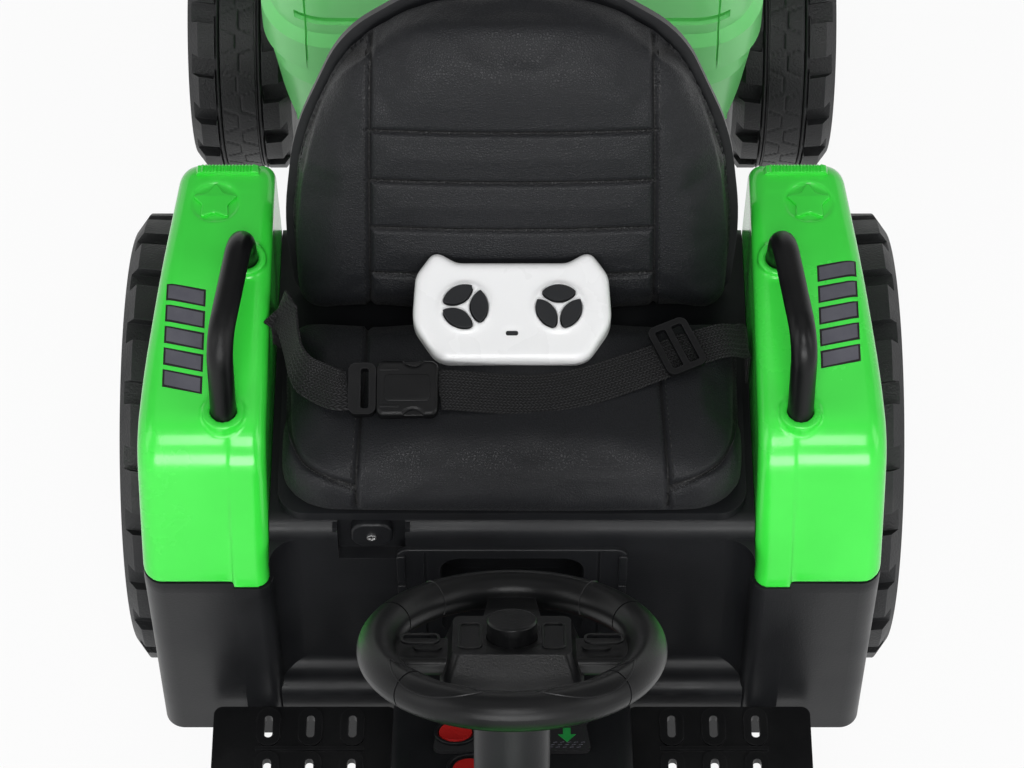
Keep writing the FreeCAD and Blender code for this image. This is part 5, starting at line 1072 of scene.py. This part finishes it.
# remote handset: pillow-soft shell and the lamp window
remoteLook = {"voxel": 0.0008, "ease": 0.5, "rounds": 48, "window": (0.0, -17.0), "windowHalf": (3.8, 1.5),
              "corner": 1.2, "depth": (-0.8, 0.35), "bevel": 0.15}
handset = softShell("remoteSkin", "remote_shell", [], remoteLook, "whiteHandset", "remote")
lampAt = remotePlane @ (Vector((*remoteLook["window"], 0)) * mm)
windowHit = dropOn(surfaceTree(handset), lampAt.x, lampAt.y)
windowPlane = framePlane(windowHit[0] / mm, (1, 0, 0), remotePlane.to_3x3() @ Vector((0, 1, 0)))
wide, tall = remoteLook["windowHalf"]
windowLoop = boxLoop(-wide, wide, -tall, tall, remoteLook["corner"])
platePiece("remoteLampWindow", [windowLoop], *remoteLook["depth"], remoteLook["bevel"], "keyRubber",
           "remote", windowPlane)
print("remote softened")


# switch plate: bezels, lamp and arrow pictures and the short tick marks
switchLook = {"top": 2.7, "sink": 0.3, "ink": 0.25, "inkBevel": 0.1}
bezelLook = {"spots": {"lightBezel": (-35, -64, 13.4), "startBezel": (-26, -101, 14.2)}, "wall": 2.2,
             "steps": 40, "sink": 0.4, "rise": 2.0, "bevel": 0.6}
lampLook = {"centre": (-30.5, -31.0), "radius": 5.2, "arc": range(90, 271, 12), "rays": (-29.0, -22.5),
            "rows": (-3.6, 0.0, 3.6), "slope": -1.6, "thick": 1.3}
arrowLook = {"x": 34.0, "stem": 2.4, "head": 5.6, "tail": -58.0, "neck": -65.0, "tip": -73.0}
tickLook = {"rows": 3, "count": 7, "start": (14, -79), "pitch": (4.3, 2.6), "stagger": 1.4, "long": 2.6,
            "slope": 0.6, "thick": 0.7, "ink": 0.2, "bevel": 0.08}


def slantBar(x0, x1, y, slope, thick):
    return roundedLoop([(x0, y, 0), (x1, y + slope, 0), (x1, y + slope + thick, 0), (x0, y + thick, 0)])


def lampLoops():
    x, y = lampLook["centre"]
    radius, slope, thick = lampLook["radius"], lampLook["slope"], lampLook["thick"]
    turns = [math.radians(degrees) for degrees in lampLook["arc"]]
    disc = [Vector((x + radius * math.cos(turn), y + radius * math.sin(turn))) * mm for turn in turns]
    return [disc] + [slantBar(*lampLook["rays"], y + rise, slope, thick) for rise in lampLook["rows"]]


def arrowLoop():
    x, stem, head = arrowLook["x"], arrowLook["stem"], arrowLook["head"]
    tail, neck, tip = arrowLook["tail"], arrowLook["neck"], arrowLook["tip"]
    return roundedLoop([(x - stem, tail, 0), (x - stem, neck, 0), (x - head, neck, 0), (x, tip, 0),
                        (x + head, neck, 0), (x + stem, neck, 0), (x + stem, tail, 0)])


def tickLoops():
    ticks = []
    for row in range(tickLook["rows"]):
        for k in range(tickLook["count"]):
            x = tickLook["start"][0] + tickLook["pitch"][0] * k + tickLook["stagger"] * row
            y = tickLook["start"][1] + tickLook["pitch"][1] * row
            ticks.append(slantBar(x, x + tickLook["long"], y, tickLook["slope"], tickLook["thick"]))
    return ticks


def printOnPlate(name, loops, ink, bevel, finish):
    low, high = switchLook["top"] - switchLook["sink"], switchLook["top"] + ink
    platePiece(name, loops, low, high, bevel, finish, "tractor", dashPlane)


for name, (x, y, radius) in bezelLook["spots"].items():
    rings = [discLoop(x, y, radius - inset, bezelLook["steps"]) for inset in (0.0, bezelLook["wall"])]
    platePiece(name, rings, switchLook["top"] - bezelLook["sink"], switchLook["top"] + bezelLook["rise"],
               bezelLook["bevel"], "blackShell", "tractor", dashPlane)
printOnPlate("lampPicture", lampLoops(), switchLook["ink"], switchLook["inkBevel"], "iconYellow")
printOnPlate("arrowPicture", [arrowLoop()], switchLook["ink"], switchLook["inkBevel"], "iconGreen")
printOnPlate("plateTicks", tickLoops(), tickLook["ink"], tickLook["bevel"], "decalGrey")
print("switch plate dressed")


# seat latch screw and the clips of the access panel
screwLook = {"at": (-87, 279), "head": 3.0, "arm": 1.9, "half": 0.45, "depth": (88.0, 89.9), "bevel": 0.35,
             "seat": 2.6, "seatDepth": (88.0, 88.9), "seatBevel": 0.1}
clipLook = {"x": (66.5, 72.0), "corner": 1.6, "depth": (93.0, 96.2), "bevel": 0.8,
            "heights": {"PanelClip": (238, 267), "PanelClipFoot": (225, 233)}}


def crossLoop(x, y, arm, half):
    corners = []
    trio = [(-half, arm), (-half, half), (-arm, half)]
    for quarter in range(4):
        corners += [(x + a, y + b, 0) for a, b in trio]
        trio = [(-b, a) for a, b in trio]
    return roundedLoop(corners)


cross = crossLoop(*screwLook["at"], screwLook["arm"], screwLook["half"])
platePiece("latchScrew", [discLoop(*screwLook["at"], screwLook["head"]), cross], *screwLook["depth"],
           screwLook["bevel"], "zincSteel", "latch", frontFace)
platePiece("latchScrewSeat", [discLoop(*screwLook["at"], screwLook["seat"])], *screwLook["seatDepth"],
           screwLook["seatBevel"], "decalBlack", "latch", frontFace)
for side, sign in sides.items():
    for name, heights in clipLook["heights"].items():
        loop = boxLoop(*mirrored(sign, *clipLook["x"]), *heights, clipLook["corner"])
        platePiece(side + name, [loop], *clipLook["depth"], clipLook["bevel"], "blackShell", "tractor",
                   frontFace)
print("latch and panel dressed")


# buckle: release arms in the half-round cut-outs, raised face and long ribs
buckleLook = {"arm": ((15.9, 17.3, 0.8), (17.4, 14.6, 1.5), (22.8, 13.1, 3.0), (28.2, 14.6, 1.5),
                      (29.7, 17.3, 0.8)), "armDepth": (-3.6, 3.6), "armBevel": 0.7,
              "face": (5, 33, -8.5, 8.5, 3.0), "faceDepth": (5.0, 6.2), "faceBevel": 0.5,
              "ribs": ((2, 14, 10.8, 12.4, 0.7), (2, 14, -12.4, -10.8, 0.7)), "ribDepth": (5.0, 6.0),
              "ribBevel": 0.3}


def bucklePiece(name, loops, part):
    platePiece(name, loops, *buckleLook[part + "Depth"], buckleLook[part + "Bevel"], "gripBlack", "seat",
               bucklePlane)


for end, sign in (("Near", -1), ("Far", 1)):
    arm = [(x, sign * y, soft) for x, y, soft in buckleLook["arm"]]
    bucklePiece("buckleArm" + end, [roundedLoop(arm[::sign])], "arm")
bucklePiece("buckleFace", [boxLoop(*buckleLook["face"])], "face")
bucklePiece("buckleRibs", [boxLoop(*rib) for rib in buckleLook["ribs"]], "rib")
print("buckle dressed")


# steering wheel: frames on the hub and spokes, grip seams on the rim
rimLook = {"ring": 75.5, "tube": 11.0, "beadSides": 6, "gripGirth": 0.55, "gripPoints": 60, "gripStart": 12,
           "gripRun": 50, "gripTilt": (88, 52), "seamGirth": 0.5, "seamTurn": 36,
           "seamTilts": range(-30, 211, 12)}
frameLook = {"wall": 1.4, "bevel": 0.35, "spots": {
    "HubFrame": {"x": (16.5, 30.0), "y": (-17, 15), "rounds": (4.0, 2.8), "depth": (7.4, 8.8)},
    "SpokeFrame": {"x": (40.0, 62.0), "y": (-6, 6), "rounds": (4.5, 3.4), "depth": (5.0, 6.5)}}}


def rimBead(name, spots, girth, closed=False):
    # a fine bead along (turn, tilt) spots of the rim's tube
    line = []
    for turn, tilt in spots:
        t, k = math.radians(turn), math.radians(tilt)
        out = Vector((math.cos(t), math.sin(t), 0))
        lift = out * math.cos(k) + Vector((0, 0, 1)) * math.sin(k)
        line.append((out * rimLook["ring"] + lift * rimLook["tube"], lift))
    last = len(line) - 1
    rings = []
    for i, (place, lift) in enumerate(line):
        before, after = (i - 1, (i + 1) % len(line)) if closed else (max(i - 1, 0), min(i + 1, last))
        ahead = line[after][0] - line[before][0]
        rings.append((place, ahead.normalized().cross(lift).normalized(), lift, girth))
    verts = []
    faces = []
    addTube(verts, faces, rings, rimLook["beadSides"], closed)
    addPiece(name, [v * mm for v in verts], faces, "gripBlack", "steering", wheelPlane)


def gripLeaf(sign):
    # a leaf-shaped loop along the lower rim, out on one side and back on the other
    count = rimLook["gripPoints"]
    level, bow = rimLook["gripTilt"]
    leaf = []
    for k in range(count):
        share = k / count
        run, way = (2 * share, 1) if share < 0.5 else (2 - 2 * share, -1)
        turn = 270 + sign * (rimLook["gripStart"] + rimLook["gripRun"] * run)
        leaf.append((turn, level + bow * math.sin(math.pi * run) * way))
    return leaf


for side, sign in sides.items():
    for name, look in frameLook["spots"].items():
        loops = []
        for inset, corner in zip((0.0, frameLook["wall"]), look["rounds"]):
            edges = mirrored(sign, look["x"][0] + inset, look["x"][1] - inset)
            loops.append(boxLoop(*edges, look["y"][0] + inset, look["y"][1] - inset, corner))
        platePiece(side + name, loops, *look["depth"], frameLook["bevel"], "gripBlack", "steering",
                   wheelPlane)
    rimBead(side + "GripSeam", gripLeaf(sign), rimLook["gripGirth"], closed=True)
    seamTurn = 90 - sign * rimLook["seamTurn"]
    rimBead(side + "RimSeam", [(seamTurn, tilt) for tilt in rimLook["seamTilts"]], rimLook["seamGirth"])
print("steering wheel dressed")


# tyres: zig-zag grooves round the centre band between two smooth rings, as one closed ring per wheel
treadLook = {"bandHalf": 12.6, "bandRise": -0.4, "groove": 1.0, "grooveHalf": 1.0, "columns": 30,
             "step": 1.5, "ringIn": 13.4, "ringOut": 16.7, "ringSlope": 0.5, "ringRise": -1.05,
             "ringCrown": 0.9225, "floor": 6.8, "inside": 1.5, "cell": (0.16, 0.32, 0.68, 0.84),
             "cells": ((-1, 0.0, -0.12), (1, 0.5, 0.06))}  # each cell's outer edge, shift and inner edge
wheelLook = {"rear": {"radius": 150.0, "y": 75.0, "lugs": 14},
             "front": {"radius": 102.5, "y": -515.0, "lugs": 10},
             "trailer": {"radius": 102.5, "y": 475.0, "lugs": 10}}


def zigzagDip(u, phase, pitch, half):
    # depth of the moulded lines at one spot of the band: trapezoid cells on both sides, half a pitch apart
    best = 1.0
    for edge, shift, flat in treadLook["cells"]:
        corners = zip((edge, flat, flat, edge), treadLook["cell"])
        line = [Vector((a * half, b * pitch)) for a, b in corners]
        spot = Vector((u * half, (phase + shift) % 1.0 * pitch))
        best = min(best, lineDistance(spot, line) / treadLook["grooveHalf"])
    return treadLook["groove"] * (1 - best * best * (3 - 2 * best))


def treadSection(radius, phase, pitch):
    # (x, reach) points across the tyre, from one ring over the band to the other
    half, columns = treadLook["bandHalf"], treadLook["columns"]
    ringIn, ringOut, slope = treadLook["ringIn"], treadLook["ringOut"], treadLook["ringSlope"]
    floor, shoulder = radius - treadLook["floor"], radius + treadLook["ringRise"]
    crown = shoulder + treadLook["ringCrown"]
    ring = [(ringIn, floor), (ringIn + slope, shoulder), ((ringIn + ringOut) / 2, crown),
            (ringOut - slope, shoulder), (ringOut, floor)]
    section = [(-x, reach) for x, reach in reversed(ring)]
    for k in range(columns + 1):
        x = -half + 2 * half * k / columns
        dip = zigzagDip(x / half, phase, pitch, half)
        section.append((x, floor if k in (0, columns) else radius + treadLook["bandRise"] - dip))
    inside = floor - treadLook["inside"]
    return section + ring + [(ringOut, inside), (-ringOut, inside)]


def treadRing(side, axle):
    look = wheelLook[axle]
    radius = look["radius"]
    spread = [v.co.x for v in nodes[side + "_" + axle + "_wheel"].data.vertices]
    middle = (min(spread) + max(spread)) / 2
    repeats = look["lugs"] * 2
    pitch = 2 * math.pi * radius / repeats
    steps = round(pitch / treadLook["step"]) * repeats
    verts = []
    for i in range(steps):
        turn = 2 * math.pi * i / steps
        section = treadSection(radius, (i * repeats / steps) % 1.0, pitch)
        for x, reach in section:
            y, z = look["y"] + reach * math.cos(turn), radius + reach * math.sin(turn)
            verts.append((middle + x * mm, y * mm, z * mm))
    faces = [(a, d, c, b) for a, b, c, d in gridFaces(steps, len(section), closed=True)]
    addPiece(side + axle.capitalize() + "Tread", verts, faces, "tyreBlack", side + "_" + axle + "_roller",
             sharp="tread")


for side in sides:
    for axle in axles:
        treadRing(side, axle)
print("treads laid")


# headlights: a bright bowl behind each lens
bowlLook = {"x": 50, "radius": 11.6, "steps": 40, "depth": (0.9, 0.1), "bevel": 0.2}
lensSpots = [v.co for v in nodes["headlights"].data.vertices]
lensBack = max(p.y for p in lensSpots) / mm
lensMiddle = (max(p.z for p in lensSpots) + min(p.z for p in lensSpots)) / 2 / mm
for side, sign in sides.items():
    bowl = discLoop(sign * bowlLook["x"], lensMiddle, bowlLook["radius"], bowlLook["steps"])
    low, high = [-lensBack - gap for gap in bowlLook["depth"]]
    platePiece(side + "LampBowl", [bowl], low, high, bowlLook["bevel"], "zincSteel", "tractor", frontFace)
print("headlights dressed:", round(lensBack, 2), round(lensMiddle, 2))
